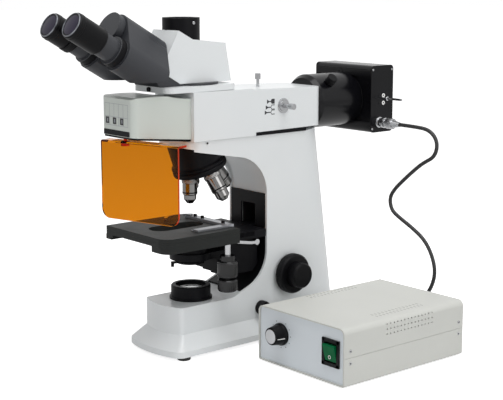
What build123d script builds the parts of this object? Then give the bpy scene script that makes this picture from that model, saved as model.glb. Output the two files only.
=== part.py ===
from build123d import *
import os
from math import acos, cos, degrees, pi, radians, sin, tan

# Upright fluorescence microscope with its lamp power box, in millimetres.
# Origin: the optical axis at the bench. +Z up, -Y towards the user, +X the user's right.
os.makedirs("parts", exist_ok=True)

# Fits between pieces
running_fit = 0.05
sliding_gap = 0.3
seat_gap = 0.2

# Stand casting
foot_height = 6.0
foot_radius = 9.8
foot_inset_x = 49.5
foot_front_y = -51.5
foot_rear_y = 196.0
base_half_width = 62.0
base_front_y = -80.5
base_bow = 13.0
base_rim_height = 9.0
base_corner = 16.0
base_wall = 6.0
skirt_top = 34.5
deck_height = 74.0
deck_front_y = -61.0
deck_bow = 11.0
wall_half_width = 44.0
wall_corner = 8.0
tail_start_low = 213.0
tail_start_high = 174.0
tail_length = 62.0
tail_flare = 5.0
arm_top = 312.0
head_front_y = -33.0
head_corner = 22.0
cavity_half_width = 38.0
cavity_front_y = -38.0
cavity_rear_y = 200.0
cavity_top = 56.0

# Brightness knob and mains inlet of the stand
dimmer_y = 98.5
dimmer_z = 50.5
dimmer_radius = 10.5
dimmer_width = 12.0
dimmer_shaft_radius = 3.0
inlet_width = 27.0
inlet_height = 20.0
inlet_z = 34.0
inlet_depth = 22.0
inlet_socket_depth = 16.0
inlet_pin_spacing = 6.5

# C-shaped opening of the arm, in the plane of its side
throat_top_at_axis = 293.4
throat_top_slope = 0.178
column_y = 111.0
throat_top_radius = 60.0
throat_low_slope = 0.387
throat_low_start_y = 45.0
throat_low_radius = 55.0
throat_blend_radius = 30.0
column_low = 137.0
column_high = 223.0
bend_front_y = 61.0
lip_width = 3.6
lip_depth = 3.0
cover_thickness = 2.6
cover_top = 222.0

# Focus drive inside the column
knob_axis_y = 155.0
knob_axis_z = 96.0
coarse_knob_radius = 30.0
coarse_knob_width = 14.5
fine_knob_radius = 19.0
fine_knob_width = 17.0
knob_wall_gap = 2.5
coarse_tube_radius = 8.0
coarse_tube_waist = 4.6
fine_shaft_radius = 3.1
gear_module = 0.8
pinion_teeth = 15
pinion_width = 22.0
slide_half_width = 16.0
slide_low = 66.0
slide_high = 172.0
slide_front_y = 104.0
slide_channel_high = 204.0
fine_key_half_width = 8.0
fine_key_depth = 8.0

# Stage carrier and stage
block_half_width = 30.0
block_front_y = 46.0
block_low = 105.0
block_heel = 9.0
shelf_thickness = 11.7
shelf_left = 56.0
shelf_right = 50.0
prong_front_y = -10.0
condenser_hole_radius = 28.0
lever_pivot_y = 98.0
lever_pivot_z = 150.0
lever_knee_y = 86.0
lever_knee_z = 150.5
lever_tip_y = 54.0
lever_tip_z = 156.5
stage_top = 184.5
stage_upper_thickness = 6.3
stage_lower_thickness = 6.0
stage_layer_gap = 0.2
stage_half_width = 72.0
stage_front_y = -99.0
stage_rear_y = 35.0
stage_corner = 18.0
slot_half_width = 18.0
slot_front_y = -53.0
slot_rear_y = 2.0
guide_half_width = 8.5
guide_drop = 7.0
tongue_depth = 3.0
tongue_height = 2.5
drive_x = 57.0
drive_y = 24.0
drive_block_drop = 9.0
drive_block_left = 52.3
drive_apron_left = 37.0
drive_apron_depth = 35.0
rack_start_y = 17.0
rack_length = 66.0

# Drop-down stage drive
y_tube_radius = 4.2
y_tube_low = 112.0
y_knob_radius = 14.5
y_knob_height = 24.0
y_collar_radius = 11.0
y_collar_height = 8.0
x_shaft_radius = 3.0
x_knob_radius = 14.0
x_knob_low = 91.0
x_knob_height = 17.5
pulley_radius = 5.3
belt_thickness = 1.2
belt_width = 3.8
belt_y = drive_y + pulley_radius + 0.1 + belt_thickness / 2

# Slide holder
holder_thickness = 4.0
holder_left = -44.0
holder_right = 57.0
holder_arm_width = 12.0
holder_arm_front_y = -30.0
holder_rail_front_y = 24.0
finger_length = 48.0
finger_width = 5.0
finger_pivot_x = -37.0
finger_pivot_y = 20.0

# Condenser
condenser_radius = 25.5
condenser_low = 132.0
condenser_height = 25.0
condenser_top_radius = 15.0
condenser_top_height = 11.0
condenser_bar_half_width = 10.0
condenser_bar_depth = 12.0
condenser_bar_low = 103.0
condenser_bar_high = 150.0
condenser_ring_low = 134.0
condenser_ring_height = 10.0
condenser_ring_wall = 5.5
condenser_knob_radius = 13.0
condenser_knob_width = 13.0
condenser_shaft_radius = 3.0
condenser_pinion_z = 122.0
condenser_pinion_width = 14.0

# Field lens on the deck
flange_radius = 31.5
flange_height = 3.0
field_ring_radius = 29.3
field_ring_top = 94.6
filter_seat_radius = 22.6
filter_seat_depth = 4.0
field_lens_radius = 18.5
field_lens_thickness = 5.0
light_bore_radius = 15.0

# Nosepiece
turret_tilt = 20.0
objective_circle = 23.0
objective_shoulder_z = 252.0
turret_rim_radius = 40.0
turret_rim_width = 11.0
turret_groove = 1.6
mount_top_radius = 43.0
objective_lengths = (36.0, 43.0, 44.0, 36.0)
objective_radii = (11.0, 12.0, 12.0, 10.5)
objective_thread_radius = 10.1
objective_thread_length = 5.0

# Amber shield
shield_yaw = 16.0
shield_reach = 118.0
shield_half_width = 67.5
shield_low = 206.8
shield_high = 317.6
shield_thickness = 3.0
shield_flange = 20.0
shield_low_corner = 14.0
pivot_back = 10.0
pivot_radius = 6.0
pivot_y = -(shield_reach - pivot_back) / cos(radians(shield_yaw))

# Illuminator
illuminator_half_width = 46.0
illuminator_front_y = -27.0
illuminator_rear_y = 221.0
illuminator_low_rear = 317.0
illuminator_top_front = 382.5
illuminator_top_rear = 377.0
illuminator_corner = 14.0
gap_front_y = 88.0
gap_rear_y = 188.0
lamp_axis_z = 350.0
lamp_bore_radius = 22.0
chamber_rear_y = 20.0
chamber_low = 325.0
chamber_top = 373.0
nose_front_y = -126.0
nose_half_width = 39.5
nose_wall = 2.2
nose_low_front = 323.0
nose_low_rear = 313.5
nose_top_front = nose_low_front + 56.0
nose_top_peak = nose_top_front + 1.2
nose_top_rear = nose_low_rear + 60.0
nose_floor_thickness = 2.2
nose_corner = 10.0
chamber_half_width = nose_half_width - nose_wall

# Beam selector rod on the right wall and light lever on top
rod_y = 141.0
rod_z = 353.0
rod_radius = 3.0
rod_length = 24.0
rod_knob_radius = 4.5
rod_base_radius = 11.0
lever_y = 130.5
lever_half = 1.6
lever_travel = 5.0
lever_top = 399.0

# Filter turret
filter_wheel_radius = 40.0
filter_wheel_x = -3.0
filter_wheel_y = -24.5
filter_wheel_low = 334.0
filter_wheel_thickness = 6.0
filter_cube = 14.0
filter_hole = 7.0
filter_bore = 5.5
filter_pin_radius = 1.9
filter_shoulder_radius = 2.4

# Head
platform_front_y = -70.0
platform_rear_y = 56.0
platform_half_width = 44.0
platform_height = 8.5
platform_corner = 14.0
head_socket_radius = 30.0
head_ring_radius = 42.0
head_ring_height = 3.0
head_half_width = 30.0
head_low = 394.2
head_rear_y = 54.0
head_top_rear_y = 43.6
head_top_rear = head_low + 54.8
head_step_y = -15.5
head_step = head_low + 61.5
head_seam_y = -40.8
hinge_at_seam_z = 419.4
tube_incline = 30.0
barrel_radius = 26.0
tube_drop = 33.6
half_ipd = 31.0
cover_front = 24.0
cover_rise = 43.0
cover_drop = 20.5
wing_start = cover_front + 0.3
wing_end = 100.0
wing_split = 58.0
wing_radius = 24.0
wing_low = 400.6
wing_swing = 12.4
hinge_shaft_radius = 12.0
hinge_seat_start = 4.0
hinge_seat_rise = 14.0
hinge_seat_half = 18.0
hinge_cap_radius = 23.0
hinge_cap_length = 11.7
eye_tube_radius = 17.0
eye_tube_length = 34.0
collar_radius = 20.5
collar_length = 12.0
eyepiece_radius = 19.0
right_eye_end = 182.7
left_eye_end = 177.6
dioptre_length = 12.0
port_y = -13.5
port_radius = 26.8
port_low = 440.0
port_top = 485.6
port_cup_radius = 19.5
port_cup_depth = 12.0
port_bore_radius = 11.6
slider_y = 14.0
slider_z = 424.0
slider_radius = 3.0
slider_travel = 10.0

# Lamp house
neck_radius = 42.0
lamp_front_y = 310.0
lamp_depth = 49.0
lamp_half_width = 63.0
lamp_low = 299.5
lamp_high = 404.5
lamp_wall = 3.0
lamp_corner = 8.0
end_plate_thickness = 3.0
socket_y = 327.0
socket_z = 315.5
collector_y = 250.0
collector_knob_radius = 8.0
collector_knob_length = 12.0
lamp_rod_y = 346.0
lamp_rod_z = 351.5
lamp_rod_radius = 1.8
lamp_rod_length = 31.0
lamp_rod_inside = 17.0

# Power box
box_left = 122.0
box_right = 296.0
box_front_y = 28.0
box_rear_y = 268.0
box_foot_height = 2.5
box_foot_radius = 7.0
box_high = 83.0
box_seam_z = 42.2
box_wall = 2.0
box_corner = 9.0
panel_recess = 2.5
panel_thickness = 2.0
supply_knob_x = 167.5
supply_knob_z = 48.5
supply_knob_radius = 16.0
rocker_x = 269.0
rocker_z = 45.3
bezel_width = 33.0
bezel_height = 38.0
vent_radius = 1.1
box_inlet_x = 255.0
box_inlet_z = 40.0
gland_x = 170.0
gland_z = 42.0

# Cable from the lamp house to the power box
cord_diameter = 6.0
plug_length = 32.0
boot_length = 14.0
gland_length = 16.0
cord_start_x = lamp_half_width + plug_length + boot_length
cord_end_y = box_rear_y + gland_length
cord_points = [
    (cord_start_x, socket_y, socket_z), (140, 327, 315.5), (172, 326, 313.5), (188.5, 326, 297),
    (184.5, 325.5, 274), (160, 325, 261.2), (140, 325, 246), (120.5, 325, 229.6), (103, 325, 214),
    (92.5, 325, 198.5), (97, 325, 180), (112, 325, 171), (140, 326, 158), (166, 327, 142.5),
    (182.5, 327, 120), (189.5, 327, 96), (184, 327, 73), (176, 318, 53), (gland_x, 303, gland_z),
    (gland_x, cord_end_y, gland_z),
]

pitch_radius = gear_module * pinion_teeth / 2
tooth_pitch = pi * gear_module
tooth_slack = 0.15
tooth_rise = 0.8 * gear_module
tooth_sink = 1.2 * gear_module

turret_sine = sin(radians(turret_tilt))
turret_cosine = cos(radians(turret_tilt))
turret_slope = tan(radians(turret_tilt))
apex_to_shoulder = objective_circle / turret_sine
apex_z = objective_shoulder_z + apex_to_shoulder
turret_plane = Plane(origin=(0, 0, apex_z), x_dir=(1, 0, 0), z_dir=(0, -turret_sine, turret_cosine))
turret_rim_low = (turret_rim_radius - objective_circle) * turret_slope - apex_to_shoulder * turret_cosine
turret_rim_high = turret_rim_low + turret_rim_width

platform_top = illuminator_top_front + platform_height
incline_sine = sin(radians(tube_incline))
incline_cosine = cos(radians(tube_incline))
tube_plane = Plane(origin=(0, head_seam_y, hinge_at_seam_z), x_dir=(1, 0, 0),
                   z_dir=(0, -incline_cosine, incline_sine))


def block(x, y, z):
    """Box between its low and high corner on each axis."""
    spans = (x, y, z)
    middle = [(low + high) / 2 for low, high in spans]
    return Pos(*middle) * Box(*[high - low for low, high in spans])


def disc(plane, radius, start, end):
    """Round bar along the plane's normal."""
    return plane * Pos(0, 0, (start + end) / 2) * Cylinder(radius, end - start)


def turned(plane, profile):
    """Body of revolution about the plane's normal, from (radius, height) points."""
    outline = Polyline(*[(radius, 0, height) for radius, height in profile], close=True)
    return plane * revolve(make_face(outline), Axis.Z)


def side_slab(points, half_width):
    """Profile in the side plane, as (y, z) points, widened both ways along X."""
    outline = Polyline(*[(0, y, z) for y, z in points], close=True)
    return extrude(make_face(outline), amount=half_width, dir=(1, 0, 0), both=True)


def upright(x=0.0, y=0.0, z=0.0):
    return Plane(origin=(x, y, z))


def across(y, z):
    """Plane through a cross shaft, with its normal along +X."""
    return Plane(origin=(0, y, z), x_dir=(0, 1, 0), z_dir=(1, 0, 0))


def lengthwise(x, z, y=0.0):
    """Plane through a front-to-back axis, with its normal along +Y."""
    return Plane(origin=(x, y, z), x_dir=(1, 0, 0), z_dir=(0, 1, 0))


def save(part, name, *others):
    """Write one sub-part, as one solid or as a group of separate solids."""
    pieces = [part, *others]
    solids = [solid for piece in pieces for solid in piece.solids()]
    export_step(Compound(children=solids) if len(solids) > 1 else solids[0], f"parts/{name}.step")


def involute(angle):
    return tan(angle) - angle


def pinion_outline(shift=0.0):
    """Involute gear outline; a tooth space or a tooth points along the plane's x axis."""
    pressure = radians(20)
    base = pitch_radius * cos(pressure)
    tip = pitch_radius + tooth_rise
    half_thickness = (tooth_pitch / 2 - tooth_slack) / (2 * pitch_radius)
    flank = []
    for step in range(4):
        radius = base + (tip - base) * step / 3
        spread = half_thickness + involute(pressure) - involute(acos(base / radius))
        flank.append((radius, spread))
    root = pitch_radius - tooth_sink
    side = [(root, flank[0][1])] + flank
    points = []
    for tooth in range(pinion_teeth):
        middle = 2 * pi * (tooth + shift) / pinion_teeth
        for radius, spread in side:
            points.append((radius * cos(middle - spread), radius * sin(middle - spread)))
        for radius, spread in reversed(side):
            points.append((radius * cos(middle + spread), radius * sin(middle + spread)))
    return make_face(Polyline(*points, close=True))


def rack_outline(start, end, back):
    """Rack along x with its pitch line on y = 0; spaces sit on whole pitches."""
    slope = tan(radians(20))
    half = (tooth_pitch / 2 - tooth_slack) / 2
    points = [(start, -back), (start, -tooth_sink)]
    first = int((start + half * 2) / tooth_pitch + (1 if start > 0 else 0))
    place = (first + 0.5) * tooth_pitch
    while place + half + slope * tooth_sink < end:
        if place - half - slope * tooth_sink > start:
            points.append((place - half - slope * tooth_sink, -tooth_sink))
            points.append((place - half + slope * tooth_rise, tooth_rise))
            points.append((place + half - slope * tooth_rise, tooth_rise))
            points.append((place + half + slope * tooth_sink, -tooth_sink))
        place += tooth_pitch
    points += [(end, -tooth_sink), (end, -back)]
    return make_face(Polyline(*points, close=True))


def plan_outline(z, half, front_y, bow, tail_start, tail, corner):
    """Closed plan of the stand: bowed front, straight sides, half-ellipse tail."""
    right_front = (half, front_y + bow)
    edges = [
        Line(right_front, (half, tail_start)),
        EllipticalCenterArc((0, tail_start), half, tail, start_angle=0, arc_size=180),
        Line((-half, tail_start), (-half, front_y + bow)),
        ThreePointArc((-half, front_y + bow), (0, front_y), right_front),
    ]
    face = make_face(edges)
    face = fillet(face.vertices().group_by(Axis.Y)[0], corner)
    return Pos(0, 0, z) * face


def throat(grow, half_width):
    """Space inside the C of the arm; grow moves its walls out into the casting."""
    far_y = base_front_y - 40
    top = throat_top_at_axis + grow
    wall_y = column_y + grow
    foot_y = throat_low_start_y + grow / throat_low_slope
    points = [
        (far_y, top - throat_top_slope * far_y),
        (wall_y, top - throat_top_slope * wall_y),
        (wall_y, deck_height + (wall_y - foot_y) * throat_low_slope),
        (foot_y, deck_height),
        (far_y, deck_height),
    ]
    outline = Polyline(*[(0, y, z) for y, z in points], close=True)
    face = make_face(outline)
    rounded = ((1, throat_top_radius), (2, throat_low_radius), (3, throat_blend_radius))
    for index, radius in rounded:
        y, z = points[index]
        corner = face.vertices().sort_by_distance((0, y, z))[0]
        face = fillet(corner, radius)
    return extrude(face, amount=half_width, dir=(1, 0, 0), both=True)


def stacked(casting):
    """The casting as solids that meet face to face: base, toe, column, bend and arm."""
    half = base_half_width + 1
    front, rear = base_front_y - 1, tail_start_low + tail_length + 10
    base = casting & block((-half, half), (front, rear), (0, deck_height))
    toe = casting & block((-half, half), (front, rear), (deck_height, column_low))
    column = casting & block((-half, half), (front, rear), (column_low, column_high))
    bend = casting & block((-half, half), (bend_front_y, rear), (column_high, arm_top + 1))
    arm = casting & block((-half, half), (front, bend_front_y), (column_high, arm_top + 1))
    return [base, toe, column, bend, arm]


def stand_casting():
    low = plan_outline(skirt_top, wall_half_width, deck_front_y, deck_bow,
                       tail_start_low, tail_length, wall_corner)
    high = plan_outline(arm_top, wall_half_width, deck_front_y, deck_bow,
                        tail_start_high, tail_length, wall_corner)
    body = loft([low, high], ruled=True)
    rim_face = plan_outline(foot_height, base_half_width, base_front_y, base_bow,
                           tail_start_low, tail_length + tail_flare, base_corner)
    rim_top = Pos(0, 0, base_rim_height) * rim_face
    rim = extrude(rim_face, amount=base_rim_height)
    skirt = loft([rim_top, low], ruled=True)
    body = body + rim + skirt
    body -= throat(0, base_half_width)
    body -= throat(lip_depth, wall_half_width - lip_width)
    front_zone = block((-base_half_width, base_half_width), (deck_front_y - 20, 0), (200, arm_top + 1))
    head = block((-wall_half_width, wall_half_width), (head_front_y, head_corner), (199, arm_top + 2))
    head = fillet(head.edges().filter_by(Axis.Z).group_by(Axis.Y)[0], head_corner)
    body -= front_zone - head
    cavity = block((-cavity_half_width, cavity_half_width), (cavity_front_y, cavity_rear_y),
                   (foot_height - 1, cavity_top))
    body -= fillet(cavity.edges().filter_by(Axis.Z), 10)
    channel = block((-slide_half_width - seat_gap, slide_half_width + seat_gap),
                    (column_y - 10, knob_axis_y + pitch_radius + 4), (slide_low - 4, slide_channel_high))
    body -= channel
    body -= disc(across(knob_axis_y, knob_axis_z), coarse_tube_radius + running_fit,
                 -base_half_width, base_half_width)
    body -= disc(upright(), light_bore_radius, cavity_top - 1, deck_height + 1)
    body -= disc(upright(), light_bore_radius, 280, arm_top + 1)
    body -= disc(across(dimmer_y, dimmer_z), dimmer_shaft_radius + running_fit, 30, base_half_width)
    body -= disc(turret_plane, turret_rim_radius + 1.5, turret_rim_low - 10, turret_rim_high + 2.3)
    body -= disc(lengthwise(0, lamp_axis_z), neck_radius + 1, illuminator_rear_y - 1, illuminator_rear_y + 40)
    return stacked(body - mains_pocket())


def mains_pocket():
    """Opening for the mains inlet, through the tail of the base."""
    return block((-inlet_width / 2, inlet_width / 2), (cavity_rear_y - 1, tail_start_low + tail_length + 20),
                 (inlet_z - inlet_height / 2, inlet_z + inlet_height / 2))


def mains_inlet():
    rear = tail_start_low + tail_length - 3
    body = block((-inlet_width / 2, inlet_width / 2), (rear - inlet_depth, rear),
                 (inlet_z - inlet_height / 2, inlet_z + inlet_height / 2))
    socket = block((-inlet_width / 2 + 2.5, inlet_width / 2 - 2.5), (rear - 16, rear + 1),
                   (inlet_z - inlet_height / 2 + 3, inlet_z + inlet_height / 2 - 3))
    body -= fillet(socket.edges().filter_by(Axis.Y).group_by(Axis.Z)[-1], 3)
    pins = [block((x - 1, x + 1), (rear - 16, rear - 4), (inlet_z - 2, inlet_z + 2)) for x in (-6.5, 0, 6.5)]
    return body + pins


def base_cover():
    plate = block((-cavity_half_width, cavity_half_width), (cavity_front_y, cavity_rear_y),
                  (foot_height, foot_height + 2))
    return fillet(plate.edges().filter_by(Axis.Z), 10)


def rubber_feet():
    feet = []
    for x in (-foot_inset_x, foot_inset_x):
        for y in (foot_front_y, foot_rear_y):
            foot = disc(upright(x, y), foot_radius, 0, foot_height)
            feet.append(fillet(foot.edges().sort_by(Axis.Z)[0], 1.5))
    return feet


def field_ring():
    profile = [
        (light_bore_radius, deck_height),
        (flange_radius, deck_height),
        (flange_radius, deck_height + flange_height),
        (field_ring_radius, deck_height + flange_height),
        (field_ring_radius, field_ring_top - 1.5),
        (field_ring_radius - 1.5, field_ring_top),
        (filter_seat_radius, field_ring_top),
        (filter_seat_radius, field_ring_top - filter_seat_depth),
        (field_lens_radius, field_ring_top - filter_seat_depth),
        (field_lens_radius, field_ring_top - filter_seat_depth - field_lens_thickness),
        (light_bore_radius, field_ring_top - filter_seat_depth - field_lens_thickness),
    ]
    return turned(upright(), profile)


def dome_lens(plane, radius, edge, crown):
    """Round lens with a flat back on the plane and a spherical front."""
    ball = (radius ** 2 + crown ** 2) / (2 * crown)
    cap = plane * Pos(0, 0, edge + crown - ball) * Sphere(ball)
    return disc(plane, radius, 0, edge + crown) & cap


def stand_lenses():
    seat = field_ring_top - filter_seat_depth - field_lens_thickness
    field = dome_lens(upright(0, 0, seat), field_lens_radius, field_lens_thickness - 2, 2)
    relay = [dome_lens(lengthwise(0, lamp_axis_z, y), lamp_bore_radius, 4, 3) for y in (60, 150, 196)]
    return [field, *relay]


def lamp_module():
    """Transmitted light: emitter board on a finned heat sink, on the base cover."""
    low = foot_height + 2
    sink = block((-20, 20), (-18, 18), (low, low + 6))
    for step in range(6):
        x = -17.5 + 7 * step
        sink += block((x - 1, x + 1), (-18, 18), (low + 6, low + 16))
    sink += block((-20, 20), (-18, 18), (low + 16, low + 19))
    reflector = turned(upright(0, 0, low + 19), [(4, 0), (9, 0), (14, 16), (13, 16)])
    return [sink, reflector]


def column_cover():
    """Black liner of the column, with a slot for the focus slide."""
    half = wall_half_width - lip_width
    band = throat(lip_depth, half) - throat(lip_depth - cover_thickness, half + 1)
    keep = block((-half, half), (throat_low_start_y + 20, column_y + lip_depth + 1), (deck_height, cover_top))
    band = band & keep
    slot = block((-slide_half_width - seat_gap, slide_half_width + seat_gap), (column_y - 10, column_y + 10),
                 (deck_height + 4, slide_channel_high))
    return band - slot


def coarse_focus():
    axis = across(knob_axis_y, knob_axis_z)
    inner = wall_half_width + knob_wall_gap
    half_pinion = pinion_width / 2
    end = inner + coarse_knob_width
    bore = fine_shaft_radius + running_fit
    tube = turned(axis, [
        (bore, -end), (coarse_tube_radius, -end), (coarse_tube_radius, -half_pinion - 5),
        (coarse_tube_waist, -half_pinion - 5), (coarse_tube_waist, half_pinion + 5),
        (coarse_tube_radius, half_pinion + 5), (coarse_tube_radius, end), (bore, end),
    ])
    teeth_plane = Plane(origin=(-half_pinion, knob_axis_y, knob_axis_z), x_dir=(0, -1, 0), z_dir=(1, 0, 0))
    gear = extrude(teeth_plane * pinion_outline(), amount=pinion_width, dir=(1, 0, 0))
    gear -= disc(axis, bore, -half_pinion - 1, half_pinion + 1)
    shaft = tube + gear
    knobs = []
    for side in (-1, 1):
        face = Plane(origin=(side * inner, knob_axis_y, knob_axis_z), x_dir=(0, 1, 0), z_dir=(side, 0, 0))
        knobs.append(turned(face, [
            (coarse_tube_radius, 0), (coarse_knob_radius - 2, 0), (coarse_knob_radius, 2),
            (coarse_knob_radius, coarse_knob_width - 2), (coarse_knob_radius - 2, coarse_knob_width),
            (coarse_tube_radius, coarse_knob_width),
        ]))
    return [shaft, *knobs]


def fine_focus():
    axis = across(knob_axis_y, knob_axis_z)
    start = wall_half_width + knob_wall_gap + coarse_knob_width + 0.5
    end = start + fine_knob_width
    shaft = disc(axis, fine_shaft_radius, -end + 2, end - 2)
    knobs = []
    for side in (-1, 1):
        face = Plane(origin=(side * start, knob_axis_y, knob_axis_z), x_dir=(0, 1, 0), z_dir=(side, 0, 0))
        knobs.append(turned(face, [
            (fine_shaft_radius, 0), (fine_knob_radius, 0), (fine_knob_radius, fine_knob_width - 2),
            (fine_knob_radius - 2, fine_knob_width), (0, fine_knob_width), (0, fine_knob_width - 2),
            (fine_shaft_radius, fine_knob_width - 2),
        ]))
    return [shaft, *knobs]


def focus_slide():
    """Bar in the column: rack at its back, key for the fine slide at its front."""
    rear = knob_axis_y - pitch_radius
    bar = block((-slide_half_width, slide_half_width), (slide_front_y, rear - tooth_sink),
                (slide_low, slide_high))
    plane = Plane(origin=(-pinion_width / 2, rear, knob_axis_z), x_dir=(0, 0, 1), z_dir=(-1, 0, 0))
    teeth = rack_outline(slide_low + 1 - knob_axis_z, 14, tooth_sink + 1)
    bar += extrude(plane * teeth, amount=pinion_width, dir=(1, 0, 0))
    bar += block((-fine_key_half_width, fine_key_half_width),
                 (slide_front_y - fine_key_depth, slide_front_y), (block_low + 12, slide_high))
    return bar


def stage_bracket():
    """Carrier block with the fork that holds the stage."""
    rear = slide_front_y - sliding_gap
    top = stage_top - stage_upper_thickness - stage_lower_thickness - stage_layer_gap - sliding_gap
    low = top - shelf_thickness
    body = block((-block_half_width, block_half_width), (block_front_y, rear), (block_low, top))
    body = chamfer(body.edges().filter_by(Axis.X).group_by(Axis.Z)[0].sort_by(Axis.Y)[-1], block_heel)
    shelf = block((-shelf_left, shelf_right), (prong_front_y, rear), (low, top))
    body = body + shelf
    body -= disc(upright(), condenser_hole_radius, low - 1, top + 1)
    body -= block((-condenser_hole_radius, condenser_hole_radius), (prong_front_y - 1, 0), (low - 1, top + 1))
    body += block((-shelf_left - tongue_depth, -shelf_left), (prong_front_y, rear),
                  (low + 5, low + 5 + tongue_height))
    teeth = Plane(origin=(drive_x - pitch_radius, drive_y, low + 4.5), x_dir=(0, -1, 0), z_dir=(0, 0, 1))
    rack = rack_outline(drive_y - rack_start_y - rack_length, drive_y - rack_start_y, tooth_sink + 1)
    body += extrude(teeth * rack, amount=shelf_thickness - 5, dir=(0, 0, 1))
    key = fine_key_half_width + running_fit
    body -= block((-key, key), (rear - fine_key_depth - sliding_gap, rear + 1), (block_low - 1, top + 1))
    groove = condenser_bar_half_width + seat_gap
    body -= block((-groove, groove), (block_front_y - 1, block_front_y + condenser_bar_depth + tooth_rise + seat_gap),
                  (block_low - 1, condenser_bar_high + 20))
    pinion_y = block_front_y + condenser_bar_depth + pitch_radius
    axle = across(pinion_y, condenser_pinion_z)
    half = condenser_pinion_width / 2
    body -= disc(axle, pitch_radius + tooth_rise + 0.6, -half - 1, half + 1)
    body -= disc(axle, condenser_shaft_radius + running_fit, -block_half_width - 1, 0)
    return body


def stage_plan(low, high):
    """Rectangular stage layer with one broad corner at the right front, and its slot."""
    plate = block((-stage_half_width, stage_half_width), (stage_front_y, stage_rear_y), (low, high))
    corner = plate.edges().filter_by(Axis.Z).sort_by_distance((stage_half_width, stage_front_y, low))[0]
    plate = fillet(corner, stage_corner)
    ends = [disc(upright(0, y), slot_half_width, low - 1, high + 1) for y in (slot_front_y, slot_rear_y)]
    middle = block((-slot_half_width, slot_half_width), (slot_front_y, slot_rear_y), (low - 1, high + 1))
    return plate - ends - middle


def stage_plates():
    """Two layers, the left guide under them and the drive block under their right edge."""
    upper_low = stage_top - stage_upper_thickness
    lower_high = upper_low - stage_layer_gap
    lower_low = lower_high - stage_lower_thickness
    upper = stage_plan(upper_low, stage_top)
    slit = block((-39, holder_right - 10), (belt_y - 1.6, belt_y + 1.6), (upper_low - 1, stage_top + 1))
    upper -= slit
    lower = stage_plan(lower_low, lower_high)
    lower -= belt_room(lower_low + 1, lower_high + 1)
    lower -= disc(upright(drive_x, drive_y), x_shaft_radius + seat_gap, lower_low - 1, lower_high)
    upper_seat = block((-10, 10), (stage_rear_y - 3, stage_rear_y), (lower_high, upper_low))
    guide = block((-stage_half_width - 1, -shelf_left - seat_gap), (stage_front_y, stage_rear_y - 2),
                  (lower_low - guide_drop, lower_low))
    shelf_low = lower_low - sliding_gap - shelf_thickness
    groove = block((-shelf_left - tongue_depth - seat_gap, 0), (stage_front_y - 1, stage_rear_y),
                   (shelf_low + 5 - seat_gap, shelf_low + 5 + tongue_height + seat_gap))
    guide -= groove
    drop = block((drive_block_left, stage_half_width), (stage_front_y + 2, stage_rear_y),
                 (lower_low - drive_block_drop, lower_low))
    apron = block((drive_apron_left, drive_block_left), (stage_front_y + 2, stage_front_y + 2 + drive_apron_depth),
                  (lower_low - drive_block_drop, lower_low))
    drop = drop + apron
    corner = drop.edges().filter_by(Axis.Z).sort_by_distance((stage_half_width, stage_front_y, lower_low - 3))[0]
    drop = fillet(corner, stage_corner - 2)
    drop -= disc(upright(drive_x, drive_y), pitch_radius + tooth_rise + 0.8, lower_low - 7.2, lower_low + 1)
    drop -= disc(upright(drive_x, drive_y), y_tube_radius + running_fit, lower_low - 20, lower_low)
    idler = turned(upright(-drive_x, drive_y, lower_low + 1.2), [(0, 0), (pulley_radius, 0),
                   (pulley_radius, belt_width), (0, belt_width)])
    return [upper, lower + upper_seat, guide, drop, idler]


def belt_loop(grow, low, high):
    """Stadium-shaped loop of the belt, as a solid slug that reaches grow past its middle line."""
    radius = belt_y - drive_y + grow
    ends = [disc(upright(x, drive_y), radius, low, high) for x in (-drive_x, drive_x)]
    middle = block((-drive_x, drive_x), (drive_y - radius, drive_y + radius), (low, high))
    return middle + ends


def belt_room(low, high):
    half = belt_thickness / 2
    return belt_loop(half + 0.5, low, high) - block((-drive_x + 8, drive_x - 8),
                                                    (drive_y - 4, drive_y + 4), (low, high))


def drive_belt():
    low = stage_top - stage_upper_thickness - stage_layer_gap - stage_lower_thickness + 1.2
    half = belt_thickness / 2
    return belt_loop(half, low, low + belt_width) - belt_loop(-half, low - 1, low + belt_width + 1)


def y_drive():
    """Front-back knob: outer tube with the pinion at its top."""
    top = stage_top - stage_upper_thickness - stage_layer_gap - stage_lower_thickness - 0.8
    bore = x_shaft_radius + running_fit
    tube = turned(upright(drive_x, drive_y), [
        (bore, y_tube_low), (y_tube_radius, y_tube_low), (y_tube_radius, top - 6), (bore, top - 6),
    ])
    gear = extrude(Plane(origin=(drive_x, drive_y, top - 6), x_dir=(-1, 0, 0)) * pinion_outline(), amount=6)
    gear -= disc(upright(drive_x, drive_y), bore, top - 7, top + 1)
    knob_high = y_tube_low + y_knob_height
    knob = turned(upright(drive_x, drive_y), [
        (y_tube_radius, y_tube_low), (y_knob_radius - 1, y_tube_low), (y_knob_radius, y_tube_low + 1),
        (y_knob_radius, knob_high - 1), (y_knob_radius - 1, knob_high), (y_collar_radius, knob_high),
        (y_collar_radius, knob_high + y_collar_height), (y_tube_radius, knob_high + y_collar_height),
    ])
    return [tube + gear, knob]


def x_drive():
    """Left-right knob: inner shaft with the belt pulley at its top."""
    low = stage_top - stage_upper_thickness - stage_layer_gap - stage_lower_thickness + 1.2
    axis = upright(drive_x, drive_y)
    shaft = disc(axis, x_shaft_radius, x_knob_low + 2, low + belt_width)
    shaft += disc(axis, pulley_radius, low, low + belt_width)
    knob = turned(axis, [
        (0, x_knob_low), (x_knob_radius - 1, x_knob_low), (x_knob_radius, x_knob_low + 1),
        (x_knob_radius, x_knob_low + x_knob_height - 1), (x_knob_radius - 1, x_knob_low + x_knob_height),
        (x_shaft_radius, x_knob_low + x_knob_height), (x_shaft_radius, x_knob_low + 2), (0, x_knob_low + 2),
    ])
    return [shaft, knob]


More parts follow.
